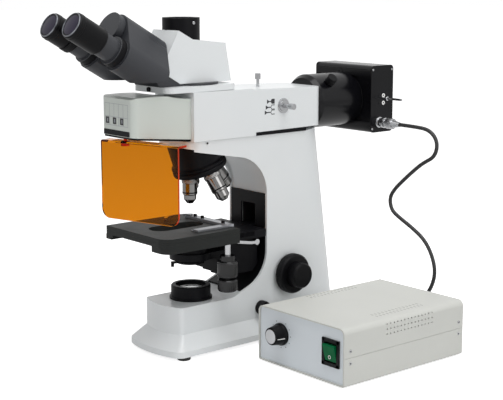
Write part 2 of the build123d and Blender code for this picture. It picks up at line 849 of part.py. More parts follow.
def slide_holder():
    """L-shaped carriage on the stage, with a foot down to the belt."""
    low = stage_top + sliding_gap
    rail = block((holder_left, holder_right), (holder_rail_front_y, stage_rear_y + 1), (low, low + holder_thickness))
    arm = block((holder_right - holder_arm_width, holder_right), (holder_arm_front_y, holder_rail_front_y + 1),
                (low, low + holder_thickness - 1))
    ledge = block((holder_right - holder_arm_width - 4, holder_right - 1),
                  (holder_arm_front_y, holder_arm_front_y + 7), (low, low + 1.2))
    belt_top = stage_top - stage_upper_thickness - stage_layer_gap - stage_lower_thickness + 1.2 + belt_width
    foot = block((-1, 9), (belt_y - 1.0, belt_y + 1.0), (belt_top + sliding_gap, low + 1))
    body = rail + arm + ledge + foot
    body -= disc(upright(finger_pivot_x, finger_pivot_y + 8), 2.05, low - 1, low + holder_thickness + 1)
    return body


def holder_finger():
    """Sprung finger that presses the slide against the fixed arm."""
    low = stage_top + sliding_gap
    pivot = upright(finger_pivot_x, finger_pivot_y + 8)
    pin = disc(pivot, 2.0, low + 0.2, low + holder_thickness + 1)
    head = disc(pivot, 4.5, low + holder_thickness + 0.3, low + holder_thickness + 2.3)
    tip = (finger_pivot_x + 4, finger_pivot_y + 8 - finger_length)
    path = ThreePointArc((finger_pivot_x, finger_pivot_y + 8),
                         (finger_pivot_x - 9, finger_pivot_y + 8 - finger_length * 0.55), tip)
    blade = trace(path, finger_width)
    lever = extrude(Pos(0, 0, low + holder_thickness + 0.3) * blade, amount=2.0)
    drop = disc(upright(*tip), 2.6, low + 0.2, low + holder_thickness + 0.5)
    return pin + head + lever + drop


def stage_lever():
    """Bent steel lever on the right side of the carrier block."""
    pivot = across(lever_pivot_y, lever_pivot_z)
    start = block_half_width
    hub = disc(pivot, 4.5, start, start + 5)
    path = Polyline((start + 6, lever_pivot_y, lever_pivot_z), (start + 7, lever_knee_y, lever_knee_z),
                    (start + 9, lever_tip_y, lever_tip_z))
    bar = sweep(Plane(origin=path @ 0, z_dir=path % 0) * Rectangle(2.2, 4.4), path=path, transition=Transition.RIGHT)
    return hub + disc(pivot, 4.5, start + 4, start + 7.2) + bar


def condenser_carrier():
    """Slide bar with rack, and the ring that clamps the condenser."""
    rear = block_front_y + condenser_bar_depth
    half = condenser_bar_half_width
    bar = block((-half, half), (block_front_y - sliding_gap, rear - tooth_sink),
                (condenser_bar_low, condenser_bar_high))
    plane = Plane(origin=(-condenser_pinion_width / 2, rear, condenser_pinion_z),
                  x_dir=(0, 0, 1), z_dir=(-1, 0, 0))
    teeth = rack_outline(condenser_bar_low - condenser_pinion_z + 0.5, 12, tooth_sink + 1)
    bar += extrude(plane * teeth, amount=condenser_pinion_width, dir=(1, 0, 0))
    ring_high = condenser_ring_low + condenser_ring_height
    outer = condenser_radius + condenser_ring_wall
    arm = block((-outer + 4, outer - 4), (0, block_front_y - sliding_gap), (condenser_ring_low, ring_high))
    front = block((-outer + 4, outer - 4), (outer - 3, block_front_y - sliding_gap),
                  (condenser_ring_low - 20, ring_high))
    ring = disc(upright(), outer, condenser_ring_low, ring_high)
    body = bar + front + arm + ring
    return body - disc(upright(), condenser_radius, condenser_ring_low - 30, ring_high + 1)


def condenser_barrel():
    """Condenser barrel with its diaphragm slit and top lens."""
    high = condenser_low + condenser_height
    top = high + condenser_top_height
    barrel = turned(upright(), [
        (condenser_radius - 10, condenser_low - 5.5), (condenser_radius - 9 - running_fit, condenser_low - 5.5),
        (condenser_radius - 9 - running_fit, condenser_low - 2), (condenser_radius - 5, condenser_low - 2),
        (condenser_radius, condenser_low + 2), (condenser_radius, high), (condenser_top_radius, high + 3),
        (condenser_top_radius, top), (condenser_top_radius - 3, top), (condenser_top_radius - 3, top - 4),
        (condenser_top_radius - 4, top - 4), (condenser_radius - 10, condenser_low + 4),
    ])
    lens = dome_lens(upright(0, 0, top - 4), condenser_top_radius - 3, 3, 1.6)
    return [barrel, lens]


def condenser_knob():
    pinion_y = block_front_y + condenser_bar_depth + pitch_radius
    axis = across(pinion_y, condenser_pinion_z)
    half = condenser_pinion_width / 2
    teeth = Plane(origin=(-half, pinion_y, condenser_pinion_z), x_dir=(0, -1, 0), z_dir=(1, 0, 0))
    gear = extrude(teeth * pinion_outline(), amount=condenser_pinion_width, dir=(1, 0, 0))
    start = -block_half_width - 2 - condenser_knob_width
    shaft = disc(axis, condenser_shaft_radius, start + 1, 0)
    knob = disc(axis, condenser_knob_radius, start, start + condenser_knob_width)
    knob = chamfer(knob.edges().filter_by(GeomType.CIRCLE), 1.2)
    return gear + shaft + knob


def nosepiece_mount():
    """Fixed black cone between the arm and the turret."""
    low = turret_plane * Pos(0, 0, turret_rim_high + 2.4) * Circle(turret_rim_radius - 3)
    high = Pos(0, 8, arm_top) * Circle(mount_top_radius)
    cone = loft([low, high], ruled=True)
    cone = cone & throat(lip_depth, wall_half_width - lip_width - 0.1)
    stem = disc(turret_plane, 9, turret_rim_high - 3, turret_rim_high + 4)
    return cone + stem - disc(upright(), light_bore_radius - 3, 200, arm_top)


def objective_planes():
    """One plane for each place on the turret, its normal pointing back up the objective."""
    planes = []
    count = len(objective_lengths)
    for place in range(count):
        turn = 2 * pi * place / count
        lean = turret_plane * Rot(0, 0, degrees(turn)) * Rot(-turret_tilt, 0, 0)
        planes.append(Plane(lean * Pos(0, 0, -apex_to_shoulder)))
    return planes


def nosepiece_turret():
    face = -apex_to_shoulder * turret_cosine
    middle = face - (objective_circle - 9) * turret_slope
    groove = turret_rim_high - turret_rim_width / 3
    body = turned(turret_plane, [
        (9.3, turret_rim_high - 3.6), (0, turret_rim_high - 3.6), (0, middle), (9, middle),
        (turret_rim_radius, turret_rim_low),
        (turret_rim_radius, groove - turret_groove), (turret_rim_radius - turret_groove, groove),
        (turret_rim_radius, groove + turret_groove), (turret_rim_radius, turret_rim_high),
        (turret_rim_radius - 3, turret_rim_high + 2.1), (9.3, turret_rim_high + 2.1),
    ])
    for plane in objective_planes():
        body -= disc(plane, objective_thread_radius, -2, objective_thread_length)
        body -= disc(plane, objective_thread_radius - 2.5, -2, 40)
    return body


def objectives():
    """Four barrels: knurled ring, body, tapered nose with a small front lens."""
    barrels = []
    for plane, length, radius in zip(objective_planes(), objective_lengths, objective_radii):
        tip = -length
        barrels.append(turned(plane, [
            (objective_thread_radius - 2, objective_thread_length - 0.5),
            (objective_thread_radius, objective_thread_length - 0.5),
            (objective_thread_radius, 0), (radius + 0.8, 0), (radius + 0.8, -6), (radius, -6.6),
            (radius, tip * 0.62), (radius - 1.5, tip * 0.66), (radius - 1.8, tip + 6),
            (4.5, tip), (3.0, tip), (3.0, tip + 1), (0, tip + 1), (0, tip + 6), (objective_thread_radius - 2, tip + 14),
        ]))
    return barrels


def uv_shield():
    """Bent sheet of amber acrylic with a flange, and its pivot screw under the nose."""
    front = Plane(origin=(0, 0, 0), x_dir=(cos(radians(shield_yaw)), sin(radians(shield_yaw)), 0),
                  z_dir=(sin(radians(shield_yaw)), -cos(radians(shield_yaw)), 0))
    height = shield_high - shield_low
    panel = Pos(0, (shield_low + shield_high) / 2) * Rectangle(2 * shield_half_width, height)
    panel = fillet(panel.vertices().group_by(Axis.Y)[0], shield_low_corner)
    sheet = extrude(front * Pos(0, 0, shield_reach - shield_thickness) * panel, amount=shield_thickness)
    lip = Pos(0, shield_high - shield_thickness / 2) * Rectangle(2 * shield_half_width, shield_thickness)
    sheet += extrude(front * Pos(0, 0, shield_reach - shield_flange) * lip, amount=shield_flange - shield_thickness)
    bend = sheet.edges().filter_by(GeomType.LINE).sort_by_distance(front.from_local_coords((0, shield_high, shield_reach)))[0]
    sheet = fillet(bend, shield_thickness - 0.4)
    pivot = upright(0, pivot_y)
    sheet -= disc(pivot, 2.5, shield_low, shield_high + 5)
    nut = turned(pivot, [
        (0, shield_high - shield_thickness - 4), (pivot_radius, shield_high - shield_thickness - 4),
        (pivot_radius, shield_high - shield_thickness), (2.5, shield_high - shield_thickness),
        (2.5, nose_floor_low(pivot_y) - 0.3), (0, nose_floor_low(pivot_y) - 0.3),
    ])
    return [sheet, nut]


def nose_floor_low(y):
    """Height of the underside of the black floor below the nose."""
    slope = (nose_low_front - nose_low_rear) / (illuminator_front_y - nose_front_y)
    return nose_low_rear + (illuminator_front_y - y) * slope - 0.4


def nose_outline(inset):
    """Side profile of the nose, drawn in by a wall thickness."""
    front = nose_front_y + inset
    rear = illuminator_front_y
    return [
        (rear, nose_low_rear + inset), (front, nose_low_front + inset), (front, nose_top_front - 1.5 - inset),
        (front + 7, nose_top_front + 0.7 - inset), (front + 36, nose_top_peak - inset),
        (front + 57, nose_top_peak - 0.8 - inset), (rear - 21 + inset, nose_top_rear + 2 - inset),
        (rear, nose_top_rear - inset),
    ]


def front_rounded(body, radius):
    """Rounds the upright edges at the front of a body."""
    return fillet(body.edges().filter_by(Axis.Z).group_by(Axis.Y)[0], radius)


def nose_cover():
    outer = front_rounded(side_slab(nose_outline(0), nose_half_width), nose_corner)
    front = nose_front_y + nose_wall
    well = [(illuminator_front_y, nose_low_rear - 9), (front, nose_low_rear - 9), (front, nose_low_front + 9),
            (illuminator_front_y, nose_low_rear + 9)]
    inner = front_rounded(side_slab(nose_outline(nose_wall), chamber_half_width), nose_corner - nose_wall)
    inner += front_rounded(side_slab(well, chamber_half_width), nose_corner - nose_wall)
    inner += block((-chamber_half_width, chamber_half_width), (illuminator_front_y - 5, illuminator_front_y + 1),
                   (nose_low_rear + nose_wall, nose_top_rear - nose_wall))
    cover = outer - inner - wheel_room()
    floor_cut = [
        (nose_front_y - 1, nose_low_front + nose_floor_thickness + 0.1),
        (illuminator_front_y + 1, nose_low_rear + nose_floor_thickness),
        (illuminator_front_y + 1, nose_low_rear - 5), (nose_front_y - 1, nose_low_rear - 5),
    ]
    return cover - side_slab(floor_cut, nose_half_width + 1)


def nose_floor():
    """Thin black plate that closes the nose from below."""
    front = nose_front_y + 1.0
    points = [
        (illuminator_front_y - 0.3, nose_low_rear + nose_floor_thickness - 0.1),
        (front, nose_low_front + nose_floor_thickness - 0.2),
        (front, nose_floor_low(front)), (illuminator_front_y - 0.3, nose_floor_low(illuminator_front_y)),
    ]
    plate = front_rounded(side_slab(points, nose_half_width - 1.0), nose_corner - 1)
    boss = disc(upright(0, pivot_y), 5, nose_floor_low(pivot_y) - 0.3, nose_floor_low(pivot_y) + 1)
    return plate + boss


def wheel_room():
    """Room in the left walls for the thumb rim of the filter wheel."""
    low, high = filter_wheel_low - 1, filter_wheel_low + filter_wheel_thickness + 1
    axis = upright(filter_wheel_x, filter_wheel_y)
    left = block((-illuminator_half_width, filter_wheel_x), (-90, chamber_rear_y), (low, high))
    return disc(axis, filter_wheel_radius + 0.8, low, high) & left


def filter_wheel():
    """Wheel with a thumb rim and three filter blocks; the fourth place is open."""
    axis = upright(filter_wheel_x, filter_wheel_y)
    high = filter_wheel_low + filter_wheel_thickness
    wheel = disc(axis, filter_wheel_radius, filter_wheel_low, high)
    places = []
    for place in range(4):
        turn = place * 90 + degrees(filter_turn())
        places.append(axis * Rot(0, 0, turn) * Pos(filter_circle(), 0, 0))
    for spot in places:
        wheel -= disc(Plane(spot), filter_hole, filter_wheel_low - 1, high + 1)
    wheel -= disc(axis, filter_pin_radius + running_fit, filter_wheel_low - 1, high + 1)
    cubes = []
    for spot in places[1:]:
        cube = Pos(0, 0, high + filter_cube / 2) * Box(filter_cube, filter_cube, filter_cube)
        cube -= Pos(0, 0, high + filter_cube / 2) * Cylinder(filter_bore, filter_cube + 1)
        cube -= Pos(filter_cube / 2, 0, high + filter_cube / 2) * Rot(0, 90, 0) * Cylinder(filter_bore, filter_cube)
        cubes.append(Plane(spot) * cube)
    return [wheel, *cubes]


def filter_circle():
    return (filter_wheel_x ** 2 + filter_wheel_y ** 2) ** 0.5


def filter_turn():
    """Angle of the place that stands on the optical axis."""
    return acos(-filter_wheel_x / filter_circle())


def illuminator_body():
    profile = [
        (illuminator_front_y, arm_top), (gap_front_y, arm_top), (gap_front_y, illuminator_low_rear),
        (illuminator_rear_y, illuminator_low_rear + 1), (illuminator_rear_y, illuminator_top_rear),
        (84, illuminator_top_rear + 3.2), (81, illuminator_top_front - 1), (illuminator_front_y, illuminator_top_front),
    ]
    body = side_slab(profile, illuminator_half_width)
    body = fillet(body.edges().filter_by(Axis.Z).group_by(Axis.Y)[-1], illuminator_corner)
    body -= block((-chamber_half_width, chamber_half_width), (illuminator_front_y - 1, chamber_rear_y),
                  (chamber_low, chamber_top))
    body -= disc(lengthwise(0, lamp_axis_z), lamp_bore_radius, chamber_rear_y - 1, illuminator_rear_y + 1)
    body -= disc(upright(), light_bore_radius, arm_top - 1, chamber_low + 1)
    body -= disc(upright(), light_bore_radius, chamber_top - 1, illuminator_top_front + 1)
    body -= wheel_room()
    axis = upright(filter_wheel_x, filter_wheel_y)
    body += disc(axis, filter_shoulder_radius, chamber_low - 1, filter_wheel_low)
    body += disc(axis, filter_pin_radius, chamber_low - 1, chamber_top - 10)
    body -= disc(across(rod_y, rod_z), rod_radius + running_fit, 10, illuminator_half_width + 1)
    body -= block((-lever_travel - lever_half, lever_travel + lever_half), (lever_y - lever_half - 0.4, lever_y + lever_half + 0.4),
                  (lamp_axis_z, illuminator_top_front + 1))
    return body


def push_rod():
    """Beam selector: pull rod with a round end, and its ringed seat on the wall."""
    axis = across(rod_y, rod_z)
    start = illuminator_half_width
    return disc(axis, rod_radius, 26, start + rod_length) + disc(axis, rod_knob_radius, start + rod_length - 8, start + rod_length)


def rod_base():
    axis = across(rod_y, rod_z)
    start = illuminator_half_width
    return turned(axis, [
        (rod_radius + 0.4, start), (rod_base_radius, start), (rod_base_radius, start + 1.2),
        (rod_base_radius - 3, start + 1.2), (rod_base_radius - 3, start + 2.4), (rod_radius + 0.4, start + 2.4),
    ])


def light_lever():
    stem = block((-lever_half, lever_half), (lever_y - lever_half, lever_y + lever_half), (lamp_axis_z + 6, lever_top))
    cap = block((-lever_half - 1.6, lever_half + 1.6), (lever_y - lever_half - 1.2, lever_y + lever_half + 1.2), (lever_top - 9, lever_top))
    return fillet((stem + cap).edges().group_by(Axis.Z)[-1], 0.8)


def gap_plate():
    plate = block((-illuminator_half_width, illuminator_half_width), (gap_front_y, gap_rear_y), (arm_top, illuminator_low_rear))
    return plate


def head_platform():
    low = illuminator_top_front
    high = low + platform_height
    plate = block((-platform_half_width, platform_half_width), (platform_front_y, platform_rear_y), (low, high))
    plate = fillet(plate.edges().filter_by(Axis.Z), platform_corner)
    plate -= disc(upright(), head_socket_radius + seat_gap, high - 5, high + 1)
    return plate - disc(upright(), light_bore_radius, low - 1, high)


def on_tube(along, up):
    """Side-plane point (y, z) at a distance along the hinge axis and above it."""
    point = tube_plane.from_local_coords((0, up, along))
    return (point.Y, point.Z)


def along_at(z, up):
    """Distance along the hinge axis at which a line parallel to it has that height."""
    return (z - hinge_at_seam_z - up * incline_cosine) / incline_sine


def up_at(z, along):
    """Distance above the hinge axis at which a square cross section has that height."""
    return (z - hinge_at_seam_z - along * incline_sine) / incline_cosine


def hinge_seat(gap):
    """Block inside the cover that carries the hinge shaft, with a gap all round it."""
    low, high = -cover_drop - 2, hinge_seat_rise + gap
    start, end = hinge_seat_start - gap, cover_front - 0.3 + (1.3 if gap else 0)
    middle = Pos(0, (low + high) / 2, (start + end) / 2)
    return tube_plane * middle * Box(2 * (hinge_seat_half + gap), high - low, end - start)


def head_base():
    """Black base of the head: swivel ring, wedge under the cover, hinge shaft and its cap."""
    ring = disc(upright(), head_socket_radius, platform_top - 4.5, platform_top + 0.3)
    ring += disc(upright(), head_ring_radius, platform_top + 0.3, head_low)
    heel = on_tube(along_at(head_low, -cover_drop), -cover_drop)
    low_y = on_tube(cover_front, up_at(wing_low - 1, cover_front))[0]
    wedge = side_slab([
        on_tube(cover_front, -cover_drop), (low_y, wing_low - 1), (low_y + 6, head_low - 2.5),
        (20, head_low - 2.5), (20, head_low), heel,
    ], head_half_width - 1)
    body = ring + wedge + hinge_seat(0)
    body += disc(tube_plane, hinge_shaft_radius, hinge_seat_start + 4, wing_end + sliding_gap)
    body += disc(tube_plane, hinge_cap_radius, wing_end + sliding_gap, wing_end + hinge_cap_length)
    return body


def head_cover():
    """White cover of the prism body, its front square to the tubes."""
    profile = [
        (head_rear_y, head_low), (head_top_rear_y, head_top_rear), (head_step_y, head_step),
        on_tube(cover_front, cover_rise), on_tube(cover_front, -cover_drop),
        on_tube(along_at(head_low, -cover_drop), -cover_drop),
    ]
    body = side_slab(profile, head_half_width)
    body -= hinge_seat(seat_gap)
    body -= disc(upright(0, port_y), port_radius, port_low, port_top)
    body -= disc(across(slider_y, slider_z), slider_radius + running_fit, -head_half_width - 1, -6)
    return body


def port_slider():
    """Beam-splitter rod on the left of the head."""
    axis = across(slider_y, slider_z)
    out = -head_half_width - slider_travel - 4
    return disc(axis, slider_radius, out, -head_half_width + 10) + disc(axis, slider_radius + 2, out - 7, out)


def photo_port():
    return turned(upright(0, port_y), [
        (port_bore_radius, port_low), (port_radius, port_low), (port_radius, port_top),
        (port_cup_radius, port_top), (port_cup_radius, port_top - port_cup_depth),
        (port_bore_radius, port_top - port_cup_depth),
    ])


def wing(side):
    """Prism housing that swings about the hinge shaft and carries one eye tube."""
    tube_spot = Pos(side * half_ipd, -tube_drop, 0)
    hinge = Circle(barrel_radius)
    outline = make_hull((hinge + tube_spot * Circle(wing_radius)).edges())
    body = extrude(tube_plane * Pos(0, 0, wing_start + 0.3) * outline, amount=wing_end - wing_start - 0.3)
    lean = tan(radians(wing_swing - 0.4))
    keep_points = [(side * 0.2, 0), (side * 90, 0), (side * 90, -90), (side * (90 * lean + 0.3), -90)]
    keep = make_face(Polyline(*keep_points, close=True))
    upper = make_face(Polyline((side * -40, 0), (side * 90, 0), (side * 90, 40), (side * -40, 40), close=True))
    zone = extrude(tube_plane * Pos(0, 0, wing_start) * (keep + upper), amount=wing_end)
    if side > 0:
        own, other = (wing_split + sliding_gap, wing_end), (wing_start + 0.3, wing_split)
    else:
        own, other = (wing_start + 0.3, wing_split), (wing_split + sliding_gap, wing_end)
    ring = disc(tube_plane, barrel_radius, *own)
    arm = (body & zone) - disc(tube_plane, barrel_radius + sliding_gap, other[0] - 1, other[1] + sliding_gap)
    arm -= disc(tube_plane, barrel_radius - 0.5, own[0] - 0.1, own[1] + 1) - disc(tube_plane, barrel_radius - 1, 0, 0.5)
    whole = arm + ring
    whole -= disc(tube_plane, hinge_shaft_radius + running_fit, 0, wing_end + 1)
    whole -= block((-120, 120), (-260, 100), (300, wing_low))
    eye = tube_plane * tube_spot
    whole += Plane(eye) * Pos(0, 0, wing_end + collar_length / 2) * Cylinder(collar_radius, collar_length)
    whole += Plane(eye) * Pos(0, 0, wing_end + eye_tube_length / 2) * Cylinder(eye_tube_radius, eye_tube_length)
    return whole


def eye_plane(side):
    return Plane(tube_plane * Pos(side * half_ipd, -tube_drop, 0))


def eyepiece(side, end):
    start = wing_end + eye_tube_length + (dioptre_length + 0.6 if side < 0 else 0)
    return turned(eye_plane(side), [
        (0, start), (eyepiece_radius - 1, start), (eyepiece_radius, start + 2), (eyepiece_radius, end - 2),
        (eyepiece_radius - 2, end), (13.5, end), (12.5, end - 3), (0, end - 3),
    ])


def dioptre_ring():
    """Turning focus collar of the left eyepiece."""
    start = wing_end + eye_tube_length + 0.3
    return turned(eye_plane(-1), [
        (0, start), (eye_tube_radius + 1.5, start), (eye_tube_radius + 2.5, start + 1),
        (eye_tube_radius + 2.5, start + dioptre_length - 1), (eye_tube_radius + 1.5, start + dioptre_length),
        (0, start + dioptre_length),
    ])


def lamp_neck():
    tube = turned(lengthwise(0, lamp_axis_z), [
        (lamp_bore_radius, illuminator_rear_y), (neck_radius - 5, illuminator_rear_y),
        (neck_radius, illuminator_rear_y + 8), (neck_radius, lamp_front_y), (lamp_bore_radius, lamp_front_y),
    ])
    knob = collector_plane()
    return tube - disc(knob, 3 + running_fit, lamp_bore_radius, neck_radius + 5)


def collector_plane():
    return Plane(origin=(0, collector_y, lamp_axis_z), x_dir=(0, 1, 0), z_dir=(1, 0, 1))


def collector_knob():
    axis = collector_plane()
    start = neck_radius + 1.0
    knob = disc(axis, collector_knob_radius, start, start + collector_knob_length)
    return fillet(knob.edges().filter_by(GeomType.CIRCLE), 1.0) + disc(axis, 3, lamp_bore_radius + 4, start + 1)


def lamp_housing():
    """Extruded case: rounded bands at top and bottom, recessed front and rear, open ends."""
    rear = lamp_front_y + lamp_depth
    span = lamp_half_width - end_plate_thickness
    case = block((-span, span), (lamp_front_y, rear), (lamp_low, lamp_high))
    case = fillet(case.edges().filter_by(Axis.X), lamp_corner)
    band = 17.0
    for y in (lamp_front_y, rear):
        case -= block((-span - 1, span + 1), (y - 3, y + 3), (lamp_low + band, lamp_high - band))
    inner = block((-span - 1, span + 1), (lamp_front_y + 3 + lamp_wall, rear - 3 - lamp_wall),
                  (lamp_low + lamp_wall, lamp_high - lamp_wall))
    case -= inner
    case -= disc(lengthwise(0, lamp_axis_z), lamp_bore_radius, lamp_front_y - 1, lamp_front_y + 10)
    collar = turned(lengthwise(0, lamp_axis_z), [
        (lamp_bore_radius, lamp_front_y), (neck_radius - 1, lamp_front_y), (neck_radius - 1, lamp_front_y + 3),
        (lamp_bore_radius, lamp_front_y + 3),
    ])
    return case + collar


def lamp_end_plates():
    rear = lamp_front_y + lamp_depth
    plates = []
    for side in (-1, 1):
        x = sorted((side * (lamp_half_width - end_plate_thickness), side * lamp_half_width))
        plate = block(x, (lamp_front_y, rear), (lamp_low, lamp_high))
        plate = fillet(plate.edges().filter_by(Axis.X), lamp_corner - 2)
        if side > 0:
            plate -= disc(across(lamp_rod_y, lamp_rod_z), lamp_rod_radius + running_fit, 40, 80)
            plate -= disc(across(socket_y, socket_z), 5, 40, 80)
        plates.append(plate)
    return plates


def lamp_rod():
    axis = across(lamp_rod_y, lamp_rod_z)
    return disc(axis, lamp_rod_radius, lamp_half_width - lamp_rod_inside, lamp_half_width + lamp_rod_length)


def arc_lamp():
    """Emitter with its lens on a finned heat sink inside the lamp house."""
    rear = lamp_front_y + lamp_depth - 3 - lamp_wall
    sink = block((-34, 34), (rear - 8, rear), (lamp_axis_z - 30, lamp_axis_z + 30))
    for step in range(9):
        z = lamp_axis_z - 28 + 7 * step
        sink += block((-34, 34), (rear - 20, rear - 8), (z - 1, z + 1))
    emitter = disc(lengthwise(0, lamp_axis_z), 12, lamp_front_y + 12, rear - 7)
    return sink + emitter


def lamp_socket():
    axis = across(socket_y, socket_z)
    start = lamp_half_width
    return turned(axis, [
        (0, start - 10), (5, start - 10), (5, start), (8.5, start), (8.5, start + 3), (6.8, start + 3.6),
        (6.8, start + 9), (0, start + 9),
    ])


def lamp_plug():
    """Screw-on cable plug with its moulded strain relief."""
    axis = across(socket_y, socket_z)
    start = lamp_half_width + 9
    metal = start + plug_length - 9
    shell = turned(axis, [
        (0, start), (8.0, start), (8.0, start + 6), (6.0, start + 6.5), (6.0, start + 12), (8.2, start + 12.5),
        (8.2, metal), (0, metal),
    ])
    boot = turned(axis, [(0, metal), (6.2, metal), (cord_diameter / 2 + 0.8, metal + boot_length), (0, metal + boot_length)])
    return [shell, boot]


def cord_radii():
    """Each bend as large as its two runs allow."""
    points = [Vector(*point) for point in cord_points]
    radii = []
    for before, corner, after in zip(points, points[1:], points[2:]):
        first, second = corner - before, after - corner
        turn = radians(first.get_angle(second))
        radii.append(0.45 * min(first.length, second.length) / tan(turn / 2))
    return radii


def lamp_cord():
    radii = cord_radii()
    print("cord radii", [round(radius, 1) for radius in radii])
    path = FilletPolyline(*cord_points, radius=radii)
    start = Plane(origin=path @ 0, z_dir=path % 0)
    tube = sweep(start * Circle(cord_diameter / 2), path=path)
    ideal = path.length * pi * (cord_diameter / 2) ** 2
    print("cord length", round(path.length, 1), "volume over section times length", round(tube.volume / ideal, 4))
    return tube


def cord_gland():
    axis = lengthwise(gland_x, gland_z)
    return turned(axis, [
        (0, box_rear_y - panel_recess - panel_thickness - 6), (5, box_rear_y - panel_recess - panel_thickness - 6),
        (5, box_rear_y - panel_recess), (9, box_rear_y - panel_recess), (9, box_rear_y + 3), (6.5, box_rear_y + 4),
        (cord_diameter / 2 + 0.8, cord_end_y), (0, cord_end_y),
    ])


def box_shell(low, high, closed_top):
    """Half of the power box: a folded shell, open towards its panels and its other half."""
    shell = block((box_left, box_right), (box_front_y, box_rear_y), (low, high))
    side_edges = shell.edges().filter_by(Axis.Y)
    shell = fillet(side_edges.group_by(Axis.Z)[-1 if closed_top else 0], box_corner if closed_top else 3)
    inner_low = low - 1 if closed_top else low + box_wall
    inner_high = high - box_wall if closed_top else high + 1
    inner = block((box_left + box_wall, box_right - box_wall), (box_front_y - 1, box_rear_y + 1), (inner_low, inner_high))
    inner_corner = box_corner - box_wall if closed_top else 1
    return shell - fillet(inner.edges().filter_by(Axis.Y).group_by(Axis.Z)[-1 if closed_top else 0], inner_corner)


def box_cover():
    """Upper half with its vent holes and slots."""
    cover = box_shell(box_seam_z, box_high, True)
    holes = [Pos(box_right, 110 + 7 * column, 62 + 7 * row) * Rot(0, 90, 0) * Cylinder(vent_radius, 6)
             for column in range(14) for row in range(3)]
    return cover - holes


def box_tray():
    """Lower half, with bosses for the transformer."""
    tray = box_shell(box_foot_height, box_seam_z - 0.3, False)
    posts = [disc(upright(x, y), 4, box_foot_height + box_wall, box_foot_height + box_wall + 6)
             for x in (150, 200) for y in (190, 235)]
    return tray + posts


def box_panels():
    """Recessed front and rear panels, and the bezel of the mains rocker."""
    span = (box_left + box_wall, box_right - box_wall)
    height = (box_foot_height + box_wall, box_high - box_wall)
    front_y = box_front_y + panel_recess
    rear_y = box_rear_y - panel_recess
    front = block(span, (front_y, front_y + panel_thickness), height)
    front = fillet(front.edges().filter_by(Axis.Y).group_by(Axis.Z)[-1], box_corner - box_wall)
    front = fillet(front.edges().filter_by(Axis.Y).group_by(Axis.Z)[0], 2.2)
    front -= disc(lengthwise(supply_knob_x, supply_knob_z), 3 + running_fit, front_y - 1, front_y + 9)
    hole = block((rocker_x - bezel_width / 2 + 3, rocker_x + bezel_width / 2 - 3), (front_y - 1, front_y + 9),
                 (rocker_z - bezel_height / 2 + 3, rocker_z + bezel_height / 2 - 3))
    front -= hole
    rear = block(span, (rear_y - panel_thickness, rear_y), height)
    rear = fillet(rear.edges().filter_by(Axis.Y).group_by(Axis.Z)[-1], box_corner - box_wall)
    rear = fillet(rear.edges().filter_by(Axis.Y).group_by(Axis.Z)[0], 2.2)
    rear -= disc(lengthwise(gland_x, gland_z), 5, rear_y - 10, rear_y + 1)
    rear -= block((box_inlet_x - 13.5, box_inlet_x + 13.5), (rear_y - 10, rear_y + 1), (box_inlet_z - 10, box_inlet_z + 10))
    bezel = block((rocker_x - bezel_width / 2, rocker_x + bezel_width / 2), (front_y - 2, front_y),
                  (rocker_z - bezel_height / 2, rocker_z + bezel_height / 2))
    bezel += block((rocker_x - bezel_width / 2 + 3, rocker_x + bezel_width / 2 - 3), (front_y, front_y + 14),
                   (rocker_z - bezel_height / 2 + 3, rocker_z + bezel_height / 2 - 3))
    bezel -= block((rocker_x - bezel_width / 2 + 5, rocker_x + bezel_width / 2 - 5), (front_y - 3, front_y + 12),
                   (rocker_z - bezel_height / 2 + 5, rocker_z + bezel_height / 2 - 5))
    return [front, rear, bezel]


def box_inlet():
    rear_y = box_rear_y - panel_recess
    body = block((box_inlet_x - 13.5, box_inlet_x + 13.5), (rear_y - 22, rear_y + 1.5), (box_inlet_z - 10, box_inlet_z + 10))
    body -= block((box_inlet_x - 11, box_inlet_x + 11), (rear_y - 15, rear_y + 2), (box_inlet_z - 7, box_inlet_z + 7))
    pins = [block((box_inlet_x + x - 1, box_inlet_x + x + 1), (rear_y - 15, rear_y - 3), (box_inlet_z - 2, box_inlet_z + 2))
            for x in (-6.5, 0, 6.5)]
    return body + pins


def box_feet():
    return [disc(upright(x, y), box_foot_radius, 0, box_foot_height)
            for x in (box_left + 18, box_right - 18) for y in (box_front_y + 22, box_rear_y - 22)]


def transformer():
    """Laminated core on the tray posts with its two windings."""
    low = box_foot_height + box_wall + 6
    core = block((145, 205), (185, 240), (low, low + 20))
    winding = block((155, 195), (176, 249), (low, low + 34))
    return fillet((core + winding).edges().filter_by(Axis.Z), 3)


def supply_knob():
    """Fluted regulator knob with a skirt and an inset cap."""
    axis = Plane(origin=(supply_knob_x, box_front_y + panel_recess, supply_knob_z), x_dir=(1, 0, 0), z_dir=(0, -1, 0))
    body = turned(axis, [
        (0, 0.5), (supply_knob_radius, 0.5), (supply_knob_radius, 3), (supply_knob_radius - 1.5, 5),
        (supply_knob_radius - 3.5, 19), (supply_knob_radius - 5, 20), (0, 20),
    ])
    return body + disc(axis, 3, -8, 1)


def supply_rocker():
    front_y = box_front_y + panel_recess
    half_height = bezel_height / 2 - 7
    points = [
        (front_y - 1, rocker_z - half_height), (front_y - 6.5, rocker_z + half_height - 2), (front_y - 5.5, rocker_z + half_height),
        (front_y + 4, rocker_z + half_height - 2), (front_y + 8, rocker_z), (front_y + 4, rocker_z - half_height + 1),
    ]
    half = bezel_width / 2 - 5.4
    return Pos(rocker_x, 0, 0) * side_slab(points, half)


def brightness_knob():
    axis = across(dimmer_y, dimmer_z)
    start = wall_half_width + 0.5
    knob = disc(axis, dimmer_radius, start, start + dimmer_width)
    knob = chamfer(knob.edges().filter_by(GeomType.CIRCLE).sort_by(Axis.X)[-1], 1.2)
    return knob + disc(axis, dimmer_shaft_radius, 32, start + 1)


